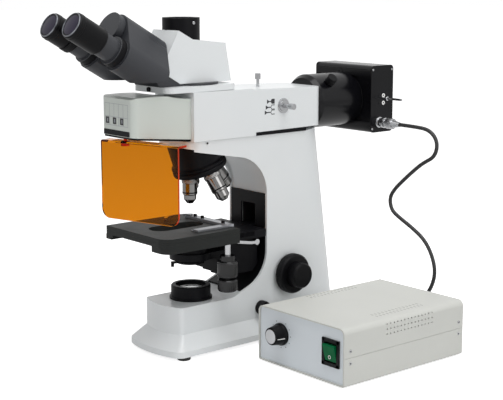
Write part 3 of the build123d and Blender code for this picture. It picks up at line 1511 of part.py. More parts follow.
def aperture_lever():
    """Small lever that turns the condenser diaphragm."""
    low, high = condenser_low - 4.7, condenser_low - 2.2
    ring = turned(upright(), [(condenser_radius - 9, low), (condenser_radius - 5, low),
                              (condenser_radius - 5, high), (condenser_radius - 9, high)])
    arm = block((-3, 3), (-condenser_radius - 3, -condenser_radius + 7), (low, high))
    tip = disc(upright(0, -condenser_radius - 2), 2.4, low - 5, high)
    return Rot(0, 0, -22) * (ring + arm + tip)


casting = stand_casting()
save(casting[0], "stand_casting", *casting[1:])
save(base_cover(), "base_cover")
feet = rubber_feet() + box_feet()
save(feet[0], "rubber_feet", *feet[1:])
save(field_ring(), "field_ring")
lenses = stand_lenses()
save(lenses[0], "stand_lenses", *lenses[1:])
module = lamp_module()
save(module[0], "light_sources", *module[1:], arc_lamp())
save(column_cover(), "column_cover")
save(mains_inlet(), "mains_inlets", box_inlet())
save(gap_plate(), "gap_plate")
save(illuminator_body(), "illuminator_body")
save(nose_cover(), "nose_cover")
save(nose_floor(), "nose_floor")
save(head_platform(), "head_platform")
save(nosepiece_mount(), "nosepiece_mount")
save(lamp_neck(), "lamp_neck")
save(lamp_housing(), "lamp_housing")
ends = lamp_end_plates()
save(ends[0], "lamp_end_plates", ends[1])
save(lamp_socket(), "lamp_socket")
plug = lamp_plug()
save(plug[0], "lamp_plug", plug[1])
save(lamp_cord(), "lamp_cord")
save(cord_gland(), "cord_gland")
save(box_tray(), "box_tray")
save(box_cover(), "box_cover")
panels = box_panels()
save(panels[0], "box_panels", *panels[1:])
save(transformer(), "transformer")
save(rod_base(), "rod_base")
coarse = coarse_focus()
save(coarse[0], "coarse_focus", *coarse[1:])
fine = fine_focus()
save(fine[0], "fine_focus", *fine[1:])
save(focus_slide(), "focus_slide")
save(stage_bracket(), "stage_bracket")
layers = stage_plates()
save(layers[0], "stage_plates", *layers[1:])
save(drive_belt(), "drive_belt")
y_parts = y_drive()
save(y_parts[0], "y_drive", *y_parts[1:])
x_parts = x_drive()
save(x_parts[0], "x_drive", *x_parts[1:])
save(stage_lever(), "stage_lever")
save(slide_holder(), "slide_holder")
save(holder_finger(), "holder_finger")
save(condenser_carrier(), "condenser", *condenser_barrel())
save(condenser_knob(), "condenser_knob")
save(aperture_lever(), "aperture_lever")
save(nosepiece_turret(), "nosepiece_turret")
glass = objectives()
save(glass[0], "objectives", *glass[1:])
shield = uv_shield()
save(shield[0], "uv_shield", *shield[1:])
save(head_base(), "head_base")
save(head_cover(), "head_cover")
save(photo_port(), "photo_port")
save(wing(-1), "left_wing")
save(wing(1), "right_wing")
save(eyepiece(-1, left_eye_end), "left_eyepiece")
save(eyepiece(1, right_eye_end), "right_eyepiece")
save(dioptre_ring(), "dioptre_ring")
save(port_slider(), "port_slider")
save(light_lever(), "light_lever")
save(push_rod(), "push_rod")
wheel = filter_wheel()
save(wheel[0], "filter_wheel", *wheel[1:])
save(brightness_knob(), "brightness_knob")
save(collector_knob(), "collector_knob")
save(lamp_rod(), "lamp_rod")
save(supply_knob(), "supply_knob")
save(supply_rocker(), "supply_rocker")
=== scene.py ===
# Upright fluorescence microscope with its lamp house and power box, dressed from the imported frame.
import bmesh
import bpy
from math import cos, pi, radians, sin
from mathutils import Matrix, Vector


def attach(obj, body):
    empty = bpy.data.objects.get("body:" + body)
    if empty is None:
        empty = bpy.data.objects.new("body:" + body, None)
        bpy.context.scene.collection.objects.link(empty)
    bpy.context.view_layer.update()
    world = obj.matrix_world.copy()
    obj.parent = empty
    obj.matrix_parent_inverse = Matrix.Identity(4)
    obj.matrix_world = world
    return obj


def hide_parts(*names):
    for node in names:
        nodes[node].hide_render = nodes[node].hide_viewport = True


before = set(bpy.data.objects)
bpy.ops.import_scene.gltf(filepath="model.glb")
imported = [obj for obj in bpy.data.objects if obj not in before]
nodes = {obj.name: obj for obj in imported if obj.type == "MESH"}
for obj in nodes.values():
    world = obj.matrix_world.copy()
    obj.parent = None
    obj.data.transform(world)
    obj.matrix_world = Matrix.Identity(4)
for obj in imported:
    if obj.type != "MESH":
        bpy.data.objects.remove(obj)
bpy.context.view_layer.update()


# Stand and arm: one aluminium casting under sprayed white enamel, with a faint orange peel.
# The illuminator, platform and head cover are finished in the same enamel; the nose cover wears a darker,
# greener copy of it, partly its own tint and partly painted shade.
class Link:
    """One output socket, for sums in a finish."""

    def __init__(self, tree, socket):
        self.tree = tree
        self.socket = socket

    def worked(self, operation, first, second):
        node = self.tree.nodes.new("ShaderNodeMath")
        node.operation = operation
        for place, value in zip(node.inputs, (first, second)):
            if isinstance(value, Link):
                self.tree.links.new(value.socket, place)
            else:
                place.default_value = value
        return Link(self.tree, node.outputs[0])

    def __add__(self, other):
        return self.worked("ADD", self, other)

    __radd__ = __add__

    def __sub__(self, other):
        return self.worked("SUBTRACT", self, other)

    def __rsub__(self, other):
        return self.worked("SUBTRACT", other, self)

    def __mul__(self, other):
        return self.worked("MULTIPLY", self, other)

    __rmul__ = __mul__

    def above(self, level):
        return self.worked("GREATER_THAN", self, level)

    def below(self, level):
        return self.worked("LESS_THAN", self, level)

    def size(self):
        return self.worked("ABSOLUTE", self, 0.0)


def paint(red, green, blue):
    """Colour as it looks on screen, made linear."""
    return tuple(((c / 255 + 0.055) / 1.055) ** 2.4 for c in (red, green, blue)) + (1.0,)


class Finish:
    """One surface finish while its nodes are put together."""

    def __init__(self, name, colour, roughness, metallic=0.0, **fixed):
        self.material = bpy.data.materials.new(name)
        self.material.use_nodes = True
        self.material.diffuse_color = colour
        self.tree = self.material.node_tree
        self.surface = self.tree.nodes["Principled BSDF"]
        self.set(Base_Color=colour, Roughness=roughness, Metallic=metallic, **fixed)
        self.place = self.node("ShaderNodeTexCoord", output="Object")

    def node(self, kind, settings=None, output=0, **sockets):
        node = self.tree.nodes.new(kind)
        for key, value in (settings or {}).items():
            setattr(node, key, value)
        self.fill(node, sockets)
        return Link(self.tree, node.outputs[output])

    def fill(self, node, sockets):
        for name, value in sockets.items():
            place = node.inputs[int(name[1:])] if name[1:].isdigit() else node.inputs[name.replace("_", " ")]
            if isinstance(value, Link):
                self.tree.links.new(value.socket, place)
            else:
                place.default_value = value

    def set(self, **sockets):
        self.fill(self.surface, sockets)

    def noise(self, scale, detail=2.0, **more):
        return self.node("ShaderNodeTexNoise", Vector=self.place, Scale=scale, Detail=detail, **more)

    def apart(self):
        """The three coordinates of a point on the surface, in metres."""
        kind = "ShaderNodeSeparateXYZ"
        return [self.node(kind, output=axis, Vector=self.place) for axis in range(3)]

    def mix(self, factor, first, second):
        return self.node("ShaderNodeMix", {"data_type": "RGBA"}, 2, _0=factor, _6=first, _7=second)

    def relief(self, height, strength, depth, edge):
        """Rounded edges of that radius, with a fine relief on them."""
        rounded = self.node("ShaderNodeBevel", {"samples": 4}, Radius=edge)
        bump = self.node("ShaderNodeBump", Height=height, Strength=strength, Distance=depth, Normal=rounded)
        self.set(Normal=bump)

    def peel(self, height, strength, depth):
        """The same fine relief on a surface that has its own rounded edges."""
        self.set(Normal=self.node("ShaderNodeBump", Height=height, Strength=strength, Distance=depth))

    def wear(self, *names):
        for name in names:
            dress(nodes[name], self.material)


def dress(piece, material):
    piece.data.materials.clear()
    piece.data.materials.append(material)


white_colour = paint(226, 229, 230)
white_shade = paint(216, 220, 222)
white = Finish("white_enamel", white_colour, 0.36, Coat_Weight=0.25, Coat_Roughness=0.12)
white_cloud = white.noise(14.0, 3.0)
white.set(Base_Color=white.mix(white_cloud * 0.5, white_colour, white_shade))
white.set(Roughness=0.31 + white_cloud * 0.10)
white.relief(white.noise(950.0, 1.0), 0.10, 0.0004, 0.0012)
white.wear("illuminator_body", "head_platform", "head_cover")
# Nose cover enamel: greener and darker than the rest, partly its own tint and partly painted shade.
nose_tint_and_shade_colour = paint(203, 209, 203)
nose_tint_and_shade_coat = Finish("nose_enamel_tint_and_shade", nose_tint_and_shade_colour, 0.38, Coat_Weight=0.2, Coat_Roughness=0.15)
nose_cloud = nose_tint_and_shade_coat.noise(14.0, 3.0)
nose_tint_and_shade_coat.set(Base_Color=nose_tint_and_shade_coat.mix(nose_cloud * 0.5, nose_tint_and_shade_colour, paint(196, 202, 196)))
nose_tint_and_shade_coat.set(Roughness=0.33 + nose_cloud * 0.10)
nose_tint_and_shade_coat.relief(nose_tint_and_shade_coat.noise(950.0, 1.0), 0.10, 0.0004, 0.0012)
nose_tint_and_shade_coat.wear("nose_cover")
casting = Finish("casting_enamel", white_colour, 0.36, Coat_Weight=0.25, Coat_Roughness=0.12)
casting_cloud = casting.noise(14.0, 3.0)
across, along, above = casting.apart()
# The inside of the arm's channel is painted near black: painted shade in the recess.
painted_channel_shade = across.size().below(0.0168) * along.above(0.1145) * along.below(0.1655) * above.below(0.205)
casting_coat = casting.mix(casting_cloud * 0.5, white_colour, white_shade)
casting.set(Base_Color=casting.mix(painted_channel_shade, casting_coat, paint(30, 30, 32)))
casting.set(Roughness=0.31 + casting_cloud * 0.10)
casting.peel(casting.noise(950.0, 1.0), 0.10, 0.0004)
casting.wear("stand_casting")


# Base cover, lamp house, neck, turret, stage and binocular: black powder coat on castings.
# The coat is fine grained and satin, and catches a thin light along every edge.
black_colour = paint(9, 9, 12)
black = Finish("black_coat", black_colour, 0.40, Specular_IOR_Level=0.10)
black_cloud = black.noise(22.0, 3.0)
black.set(Base_Color=black.mix(black_cloud * 0.6, black_colour, paint(15, 15, 18)))
black.set(Roughness=0.36 + black_cloud * 0.14)
black.relief(black.noise(1500.0, 2.0), 0.22, 0.0003, 0.0007)
black.wear("base_cover", "gap_plate", "nose_floor", "nosepiece_mount", "photo_port", "condenser",
           "filter_wheel", "field_ring", "stage_bracket", "focus_slide", "aperture_lever")


# Binocular head: the hinged wings and the base under them, in a blue-black satin powder coat.
# The grain is coarser than the stand's, so that faces turned to the lamp go slate grey.
head_colour = paint(30, 32, 37)
head_coat = Finish("head_coat", head_colour, 0.4, Specular_IOR_Level=0.5)
head_cloud = head_coat.noise(26.0, 3.0)
head_coat.set(Base_Color=head_coat.mix(head_cloud * 0.6, head_colour, paint(38, 40, 46)))
head_coat.set(Roughness=0.44 + head_cloud * 0.14)
head_coat.relief(head_coat.noise(1300.0, 2.0), 0.25, 0.0003, 0.0009)
head_coat.wear("head_base", "left_wing", "right_wing")


# Stage plates: cast iron, ground flat and painted in a matt black that shows hand polish.
# The slide holder above them is anodised alloy.
stage_colour = paint(26, 28, 27)
stage_paint = Finish("stage_paint", stage_colour, 0.46, Specular_IOR_Level=0.18)
stage_rub = stage_paint.noise(34.0, 5.0)
stage_paint.set(Base_Color=stage_paint.mix(stage_rub, stage_colour, paint(36, 38, 37)))
stage_paint.set(Roughness=0.40 + stage_rub * 0.2)
stage_paint.relief(stage_paint.noise(1900.0, 2.0), 0.25, 0.0002, 0.0009)
stage_paint.wear("stage_plates")
alloy_colour = paint(150, 152, 156)
alloy = Finish("anodised_alloy", alloy_colour, 0.34, 1.0)
alloy_grain = alloy.noise(1600.0, 1.0)
alloy.set(Roughness=0.28 + alloy_grain * 0.14)
alloy.relief(alloy_grain, 0.15, 0.0001, 0.0004)
alloy.wear("slide_holder", "light_sources")


def lathe(name, profile, at, along, material, body, turns=72):
    """Round piece from (radius, distance) points in mm along an axis, fixed to a body."""
    mesh = bpy.data.meshes.new(name)
    build = bmesh.new()
    rings = []
    for radius, distance in profile:
        if radius < 1e-6:
            rings.append([build.verts.new((0, 0, distance / 1000))])
            continue
        steps = range(turns)
        rings.append([build.verts.new((radius / 1000 * cos(2 * pi * step / turns),
                                       radius / 1000 * sin(2 * pi * step / turns), distance / 1000))
                      for step in steps])
    for low, high in zip(rings, rings[1:]):
        for step in range(turns):
            after = (step + 1) % turns
            corners = [low[step % len(low)], low[after % len(low)],
                       high[after % len(high)], high[step % len(high)]]
            corners = list(dict.fromkeys(corners))
            if len(corners) > 2:
                build.faces.new(corners)
    return settle(name, mesh, build, at, along, material, body)


def settle(name, mesh, build, at, along, material, body, smooth=True):
    """Puts a mesh in place in the row frame, dresses it and fixes it to its body."""
    turn = Vector((0, 0, 1)).rotation_difference(Vector(along)).to_matrix().to_4x4()
    build.transform(Matrix.Translation(Vector(at) / 1000) @ turn)
    bmesh.ops.recalc_face_normals(build, faces=build.faces)
    build.to_mesh(mesh)
    build.free()
    piece = bpy.data.objects.new(name, mesh)
    bpy.context.scene.collection.objects.link(piece)
    if smooth:
        mesh.shade_smooth()
        mesh.set_sharp_from_angle(angle=radians(32))
    dress(piece, material)
    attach(piece, body)
    return piece


def grip(name, radius, low, high, count, depth, at, along, material, body, taper=0.0):
    """Band of rounded ribs round a knob, its ends run out into the knob."""
    mesh = bpy.data.meshes.new(name)
    build = bmesh.new()
    wave = (0.0, 0.75, 1.0, 0.75)
    rings = []
    for share, rise in ((0.0, 0.0), (0.04, 0.9), (0.1, 1.0), (0.9, 1.0), (0.96, 0.9), (1.0, 0.0)):
        ring = []
        for step in range(count * 4):
            reach = radius - 0.3 - taper * share + rise * (0.3 + depth * wave[step % 4])
            angle = 2 * pi * step / (count * 4)
            ring.append(build.verts.new((reach / 1000 * cos(angle), reach / 1000 * sin(angle),
                                         (low + (high - low) * share) / 1000)))
        rings.append(ring)
    for lower, upper in zip(rings, rings[1:]):
        for step in range(count * 4):
            after = (step + 1) % (count * 4)
            build.faces.new((lower[step], lower[after], upper[after], upper[step]))
    return settle(name, mesh, build, at, along, material, body)


def plate(name, width, height, thick, corner, at, facing, up, material, body):
    """Thin rounded plate lying on a surface, with a small raised edge."""
    mesh = bpy.data.meshes.new(name)
    build = bmesh.new()
    outline = []
    for side, rise, start in ((1, 1, 0), (-1, 1, 90), (-1, -1, 180), (1, -1, 270)):
        for step in range(5):
            angle = radians(start + 22.5 * step)
            outline.append((side * (width / 2 - corner) + corner * cos(angle),
                            rise * (height / 2 - corner) + corner * sin(angle)))
    layers = []
    for inset, lift in ((0.0, 0.0), (0.0, thick * 0.7), (min(thick * 0.3, corner * 0.5), thick)):
        share_x = 1 - 2 * inset / width
        share_y = 1 - 2 * inset / height
        layers.append([build.verts.new((x * share_x / 1000, y * share_y / 1000, lift / 1000))
                       for x, y in outline])
    for lower, upper in zip(layers, layers[1:]):
        for step in range(len(outline)):
            after = (step + 1) % len(outline)
            build.faces.new((lower[step], lower[after], upper[after], upper[step]))
    build.faces.new(layers[-1])
    build.faces.new(list(reversed(layers[0])))
    out = Vector(facing).normalized()
    side = Vector(up).normalized().cross(out)
    turn = Matrix((side, out.cross(side), out)).transposed().to_4x4()
    build.transform(turn)
    return settle(name, mesh, build, at, (0, 0, 1), material, body, smooth=False)


# Field lens and illuminator lenses: ground glass, clear with a cool coating.
# Their pale colour is painted light from the frosted light well below the field lens; a near-white frosted
# skin laid on the field lens is painted light too.
pale_glass_painted_light = Finish("field_glass_painted_light", paint(214, 220, 222), 0.08, Coat_Weight=1.0, Coat_Roughness=0.02)
pale_ring = pale_glass_painted_light.noise(60.0, 2.0)
pale_glass_painted_light.set(Base_Color=pale_glass_painted_light.mix(pale_ring, paint(226, 230, 231), paint(176, 184, 188)))
pale_glass_painted_light.wear("stand_lenses")
frosted_painted_light = Finish("frosted_glass_painted_light", paint(238, 240, 240), 0.4, Specular_IOR_Level=0.3)
frost = frosted_painted_light.noise(900.0, 2.0)
frosted_painted_light.set(Base_Color=frosted_painted_light.mix(frost, paint(240, 242, 242), paint(226, 230, 231)))
lathe("field_glass_painted_light", [(18.3, 88.7), (18.0, 89.2), (12.0, 89.9), (6.0, 90.2), (0.0, 90.3)],
      (0, 0, 0), (0, 0, 1), frosted_painted_light.material, "stand")


# Coarse, fine, stage, condenser and dimmer knobs: moulded black nylon with ribbed grips.
# The mould leaves a soft sheen and a slightly coarser grain than the paint.
nylon_colour = paint(8, 8, 10)
nylon = Finish("black_nylon", nylon_colour, 0.32, Specular_IOR_Level=0.12)
nylon_grain = nylon.noise(700.0, 2.0)
nylon.set(Roughness=0.32 + nylon_grain * 0.16)
nylon.set(Base_Color=nylon.mix(nylon_grain * 0.5, nylon_colour, paint(16, 16, 19)))
nylon.relief(nylon_grain, 0.12, 0.0003, 0.0008)
nylon.wear("coarse_focus", "fine_focus", "condenser_knob", "brightness_knob",
           "collector_knob", "supply_knob", "left_eyepiece", "right_eyepiece", "dioptre_ring",
           "cord_gland", "mains_inlets", "column_cover")
focus_axis = (0, 155, 96)
for side in (-1, 1):
    hand = "right" if side > 0 else "left"
    outward = (side, 0, 0)
    grip(f"coarse_grip_{hand}", 30.0, 48.8, 58.8, 72, 0.45, focus_axis, outward, nylon.material,
         "coarse_focus")
    grip(f"fine_grip_{hand}", 19.0, 63.0, 76.0, 56, 0.4, focus_axis, outward, nylon.material,
         "fine_focus")
stage_drive = (57, 24, 0)
drive_nylon = Finish("polished_nylon", paint(12, 12, 14), 0.2, Specular_IOR_Level=0.45)
drive_grain = drive_nylon.noise(420.0, 2.0)
drive_nylon.set(Roughness=0.15 + drive_grain * 0.12)
drive_nylon.relief(drive_grain, 0.06, 0.0002, 0.0008)
drive_nylon.wear("y_drive", "x_drive")
grip("y_grip", 14.5, 114, 134, 30, 0.55, stage_drive, (0, 0, 1), drive_nylon.material, "y_drive")
grip("x_grip", 14.0, 92.6, 107, 30, 0.55, stage_drive, (0, 0, 1), drive_nylon.material, "x_drive")
condenser_shaft = (0, 64, 122)
grip("condenser_grip", 13.0, 33.4, 43.6, 40, 0.4, condenser_shaft, (-1, 0, 0), nylon.material,
     "condenser_knob")
dimmer_shaft = (0, 98.5, 50.5)
grip("dimmer_grip", 10.5, 45.5, 55.0, 40, 0.35, dimmer_shaft, (1, 0, 0), nylon.material,
     "brightness_knob")


# Plated steel: the focus slide, levers, rods, screws and the drop tube of the stage drive.
# The plating is bright, with faint drawn lines and small smears.
steel_colour = paint(184, 185, 187)
steel = Finish("bright_steel", steel_colour, 0.16, 1.0)
smear = steel.noise(90.0, 4.0)
steel.set(Roughness=0.12 + smear * 0.14)
steel.relief(steel.noise(2400.0, 1.0), 0.05, 0.0001, 0.0003)
steel.wear("stage_lever", "drive_belt", "holder_finger", "port_slider", "light_lever", "push_rod",
           "rod_base", "lamp_rod", "lamp_socket", "lamp_plug")
lathe("drop_tube_sleeve", [(4.25, 144.2), (4.6, 144.2), (4.6, 160.5), (4.25, 160.5)], stage_drive, (0, 0, 1),
      steel.material, "y_drive")


# Objectives: turned brass barrels, plated bright, with a knurled band, a black cut and a lens.
# Each hangs square to its face of the turret, which clicks round under the arm.
chrome = Finish("objective_plating", paint(124, 123, 122), 0.09, 1.0)
turned_marks = chrome.noise(300.0, 2.0)
chrome.set(Roughness=0.07 + turned_marks * 0.07)
chrome.relief(turned_marks, 0.03, 0.0001, 0.0003)
chrome.wear("objectives")
tilt = radians(20)
apex = Vector((0, 0, 319.248))
turret = Matrix.Translation(apex) @ Matrix.Rotation(tilt, 4, "X")
barrels = ((36.0, 11.0), (43.0, 12.0), (44.0, 12.0), (36.0, 10.5))
front_glass = Finish("front_lens", paint(20, 22, 34), 0.04, Coat_Weight=1.0)
front_bloom = front_glass.noise(260.0, 1.0)
front_glass.set(Base_Color=front_glass.mix(front_bloom, paint(16, 18, 30), paint(44, 36, 70)))
for place, (length, radius) in enumerate(barrels):
    seat = turret @ Matrix.Rotation(pi / 2 * place, 4, "Z") @ Matrix.Rotation(-tilt, 4, "X")
    down = (seat.to_3x3() @ Vector((0, 0, -1))).normalized()
    shoulder = seat @ Vector((0, 0, -67.248))
    grip(f"objective_knurl_{place}", radius + 0.8, 0.8, 5.4, 60, 0.25, shoulder, down, chrome.material,
         "nosepiece")
    cut = length * 0.55
    groove = [(radius - 0.1, cut - 0.9), (radius + 0.12, cut - 0.9), (radius + 0.12, cut + 0.9),
              (radius - 0.1, cut + 0.9)]
    lathe(f"objective_cut_{place}", groove, shoulder, down, nylon.material, "nosepiece")
    cone = [(radius - 1.9, length - 6.2), (radius - 1.7, length - 6.2), (4.4, length - 0.1),
            (3.2, length - 0.1)]
    lathe(f"objective_tip_{place}", cone, shoulder, down, black.material, "nosepiece")
    dome = [(3.0, length - 1.3), (2.0, length - 0.8), (0.0, length - 0.55)]
    lathe(f"objective_lens_{place}", dome, shoulder, down, front_glass.material, "nosepiece")
black.wear("nosepiece_turret")
turret_down = (turret.to_3x3() @ Vector((0, 0, -1))).normalized()
grip("turret_knurl_low", 40.0, 51.7, 56.6, 110, 0.35, apex, turret_down, black.material, "nosepiece")
grip("turret_knurl_high", 40.0, 46.3, 48.0, 110, 0.35, apex, turret_down, black.material, "nosepiece")


# Amber shield: cast acrylic bent along its top, clear through the face, with its red edges and their glow
# painted light.
# A black thumb screw holds it to the floor of the nose.
amber = Finish("amber_acrylic", paint(222, 132, 0), 0.03, Transmission_Weight=1.0, IOR=1.2,
               Specular_IOR_Level=0.12)
facing = amber.node("ShaderNodeTexCoord", output="Normal")
sideways = amber.node("ShaderNodeVectorMath", {"operation": "DOT_PRODUCT"}, 1, Vector=facing,
                      _1=(cos(radians(16)), sin(radians(16)), 0.0))
# Sideways faces get a deep red colour and a faint red emission: painted light along the sheet's edges.
painted_edge_light_mask = sideways.size().above(0.6)
amber_streak = amber.noise(40.0, 2.0)
amber_face = amber.mix(amber_streak * 0.4, paint(224, 134, 0), paint(216, 126, 0))
amber.set(Base_Color=amber.mix(painted_edge_light_mask, amber_face, paint(178, 18, 6)))
painted_edge_glow = amber.mix(painted_edge_light_mask, (0.0, 0.0, 0.0, 1.0), paint(190, 22, 6))
amber.set(Emission_Color=painted_edge_glow, Emission_Strength=0.06)
amber.wear("uv_shield")


# Rubber feet and the cable's jacket: soft black rubber, matt, with a little dust in the grain.
# The feet are screwed under the base and under the power box.
rubber = Finish("foot_rubber", paint(30, 30, 30), 0.7)
dust = rubber.noise(420.0, 4.0)
rubber.set(Base_Color=rubber.mix(dust * 0.6, paint(26, 26, 26), paint(46, 45, 44)))
rubber.relief(dust, 0.3, 0.0002, 0.0006)
rubber.wear("rubber_feet")


# Eyepieces: black tubes with a thin metal ring, and a dark coated eye lens in a wide black bevel.
# The lens is cemented flush with the rim, and the left eyepiece turns on its dioptre collar.
incline = Vector((0, -cos(radians(30)), sin(radians(30))))
up_tube = Vector((0, sin(radians(30)), cos(radians(30))))
hinge = Vector((0, -40.8, 419.4))
eye_offset = 31.0
tube_drop = 33.6
eye_glass = Finish("eye_lens", paint(22, 20, 34), 0.06, Specular_IOR_Level=0.18)
bloom = eye_glass.noise(70.0, 1.0)
eye_glass.set(Base_Color=eye_glass.mix(bloom, paint(14, 12, 30), paint(36, 26, 58)))
rim_metal = Finish("eye_rim", paint(108, 110, 115), 0.3, 1.0)
rim_turning = rim_metal.noise(300.0, 1.0)
rim_metal.set(Roughness=0.26 + rim_turning * 0.12)
for side, end, body in ((-1, 177.6, "left_tube"), (1, 182.7, "right_tube")):
    hand = "right" if side > 0 else "left"
    eye = hinge + Vector((side * eye_offset, 0, 0)) - up_tube * tube_drop
    dome = [(14.5, end - 0.2), (14.3, end + 0.1), (10.5, end + 0.5), (5.2, end + 0.8), (0, end + 0.9)]
    lathe(f"eye_lens_{hand}", dome, eye, incline, eye_glass.material, body)
    rim = [(16.0, end - 0.2), (16.3, end + 0.9), (16.9, end + 1.1), (17.5, end + 0.6), (17.6, end - 0.3)]
    lathe(f"eye_ring_{hand}", rim, eye, incline, rim_metal.material, body)
    band = [(18.9, end - 9.0), (19.35, end - 8.6), (19.35, end - 5.4), (18.9, end - 5.0)]
    lathe(f"eye_band_{hand}", band, eye, incline, nylon.material, body)
    grip(f"eye_grip_{hand}", 20.5, 101.0, 111.0, 60, 0.3, eye, incline, black.material, body)
left_eye = hinge + Vector((-eye_offset, 0, 0)) - up_tube * tube_drop
grip("dioptre_grip", 19.5, 135.6, 144.9, 54, 0.35, left_eye, incline, nylon.material, "dioptre_ring")


# Set screws and cap screws: small plated heads with a hexagon socket, driven into the castings.
# Each is a turned head with a sunk socket, seated on the face that it holds.
def screw(name, radius, at, facing_to, body, material=None, height=1.2):
    socket = radius * 0.45
    profile = [(radius, 0.0), (radius, height * 0.75), (radius - 0.25, height), (socket, height),
               (socket, height * 0.3), (0.0, height * 0.3)]
    return lathe(name, profile, at, facing_to, material or steel.material, body, 28)


screw("port_screw", 2.2, (26.6, -11.5, 478.5), (1, 0, 0), "head")
screw("platform_screw", 3.3, (0, -70, 386.7), (0, -1, 0), "stand", black.material, 3.2)
screw("illuminator_screw", 1.5, (46.0, -3.0, 309.0), (1, 0, 0), "stand", black.material, 0.5)
for number, (y, z) in enumerate(((313.6, 398.2), (355.6, 397.4), (313.2, 305.4), (355.6, 305.4))):
    for side in (-1, 1):
        screw(f"lamp_screw_{number}_{side + 1}", 1.7, (side * 63.0, y, z), (side, 0, 0), "stand", None, 0.7)
box_left, box_right = 122.0, 296.0
for number, (y, z) in enumerate(((39.7, 51.5), (39.7, 34.5), (258.4, 52.0), (258.4, 34.9))):
    for x, side in ((box_right, 1), (box_left, -1)):
        screw(f"box_screw_{number}_{side + 1}", 2.3, (x, y, z), (side, 0, 0), "stand", None, 0.9)
        for slot, lean in enumerate((0.8, -1.2)):
            plate(f"box_screw_cut_{number}_{side + 1}_{slot}", 3.0, 0.7, 0.12, 0.2,
                  (x + side * 0.86, y, z), (side, 0, 0), (0, lean, 1), black.material, "stand")
for number, (x, y) in enumerate(((-26.0, 29.5), (-8.6, 29.5), (40.0, 29.5))):
    screw(f"holder_screw_{number}", 2.7, (x, y, 188.75), (0, 0, 1), "slide_holder", black.material, 3.2)


# Lamp house: glossy black extrusion with two bare white index rings beside its centring rod.
# The lamp neck is turned from the same alloy, and a thin rib runs along the top of the front.
gloss_colour = paint(8, 8, 11)
gloss = Finish("lamp_gloss", gloss_colour, 0.22, Specular_IOR_Level=0.22)
gloss_cloud = gloss.noise(20.0, 3.0)
gloss.set(Base_Color=gloss.mix(gloss_cloud * 0.6, gloss_colour, paint(13, 13, 17)))
gloss.set(Roughness=0.16 + gloss_cloud * 0.14)
gloss.relief(gloss.noise(900.0, 2.0), 0.06, 0.0002, 0.0008)
gloss.wear("lamp_neck", "lamp_housing", "lamp_end_plates")
front = (0, -1, 0)
upright = (0, 0, 1)
plate("lamp_rib", 120.0, 1.4, 0.8, 0.4, (0.0, 310.0, 398.6), front, upright, gloss.material, "stand")
screw("lamp_plug_screw", 5.2, (-7.1, 310.0, 392.0), (0, -1, 0), "stand", gloss.material, 0.9)
mark = Finish("white_mark", paint(232, 232, 230), 0.5)
mark_grain = mark.noise(800.0, 2.0)
mark.set(Base_Color=mark.mix(mark_grain * 0.4, paint(236, 236, 234), paint(214, 214, 212)))
lamp_side = 63.0
for number, z in enumerate((345.5, 357.0)):
    lathe(f"lamp_mark_{number}", [(1.3, 0.0), (1.3, 0.25), (3.3, 0.25), (3.3, 0.0)],
          (lamp_side, 337.5, z), (1, 0, 0), mark.material, "stand", 32)
    lathe(f"lamp_socket_{number}", [(0.0, 0.1), (1.5, 0.1), (1.5, 0.5), (2.3, 0.5), (2.3, 0.0)],
          (lamp_side, 329.5, z), (1, 0, 0), gloss.material, "stand", 32)
lathe("lamp_rod_bush", [(1.9, 0), (3.4, 0), (3.4, 1.0), (2.6, 1.6), (1.9, 1.6)],
      (lamp_side, 346.0, 351.5), (1, 0, 0), steel.material, "stand", 32)
grip("plug_knurl", 8.2, 91.8 - 9.0, 94.0, 40, 0.25, (0, 327, 315.5), (1, 0, 0), steel.material, "stand")


# Cable between lamp house and power box: round black rubber lead, hanging in two slack bends.
# It leaves the plug's boot, swings out, drops and turns into the gland at the back of the box.
lead = Finish("lead_rubber", paint(28, 28, 29), 0.45)
lead_grain = lead.noise(600.0, 2.0)
lead.set(Roughness=0.38 + lead_grain * 0.2)
lead.relief(lead_grain, 0.1, 0.0002, 0.0003)
route = [
    (109, 327, 315.5), (140, 327, 315.5), (172, 326, 313.5), (188.5, 326, 297), (184.5, 325.5, 274),
    (160, 325, 261.2), (140, 325, 246), (120.5, 325, 229.6), (103, 325, 214), (92.5, 325, 198.5),
    (97, 325, 180), (112, 325, 171), (140, 326, 158), (166, 327, 142.5), (182.5, 327, 120),
    (189.5, 327, 96), (184, 327, 73), (176, 318, 53), (170, 303, 42), (170, 284, 42),
]
lead_curve = bpy.data.curves.new("lamp_lead", "CURVE")
lead_curve.dimensions = "3D"
lead_curve.bevel_depth = 0.003
lead_curve.bevel_resolution = 4
lead_curve.resolution_u = 10
spline = lead_curve.splines.new("NURBS")
spline.points.add(len(route) - 1)
for point, (x, y, z) in zip(spline.points, route):
    point.co = (x / 1000, y / 1000, z / 1000, 1.0)
spline.order_u = 3
spline.use_endpoint_u = True
lead_piece = bpy.data.objects.new("lamp_lead", lead_curve)
bpy.context.scene.collection.objects.link(lead_piece)
dress(lead_piece, lead.material)
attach(lead_piece, "stand")
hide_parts("lamp_cord")


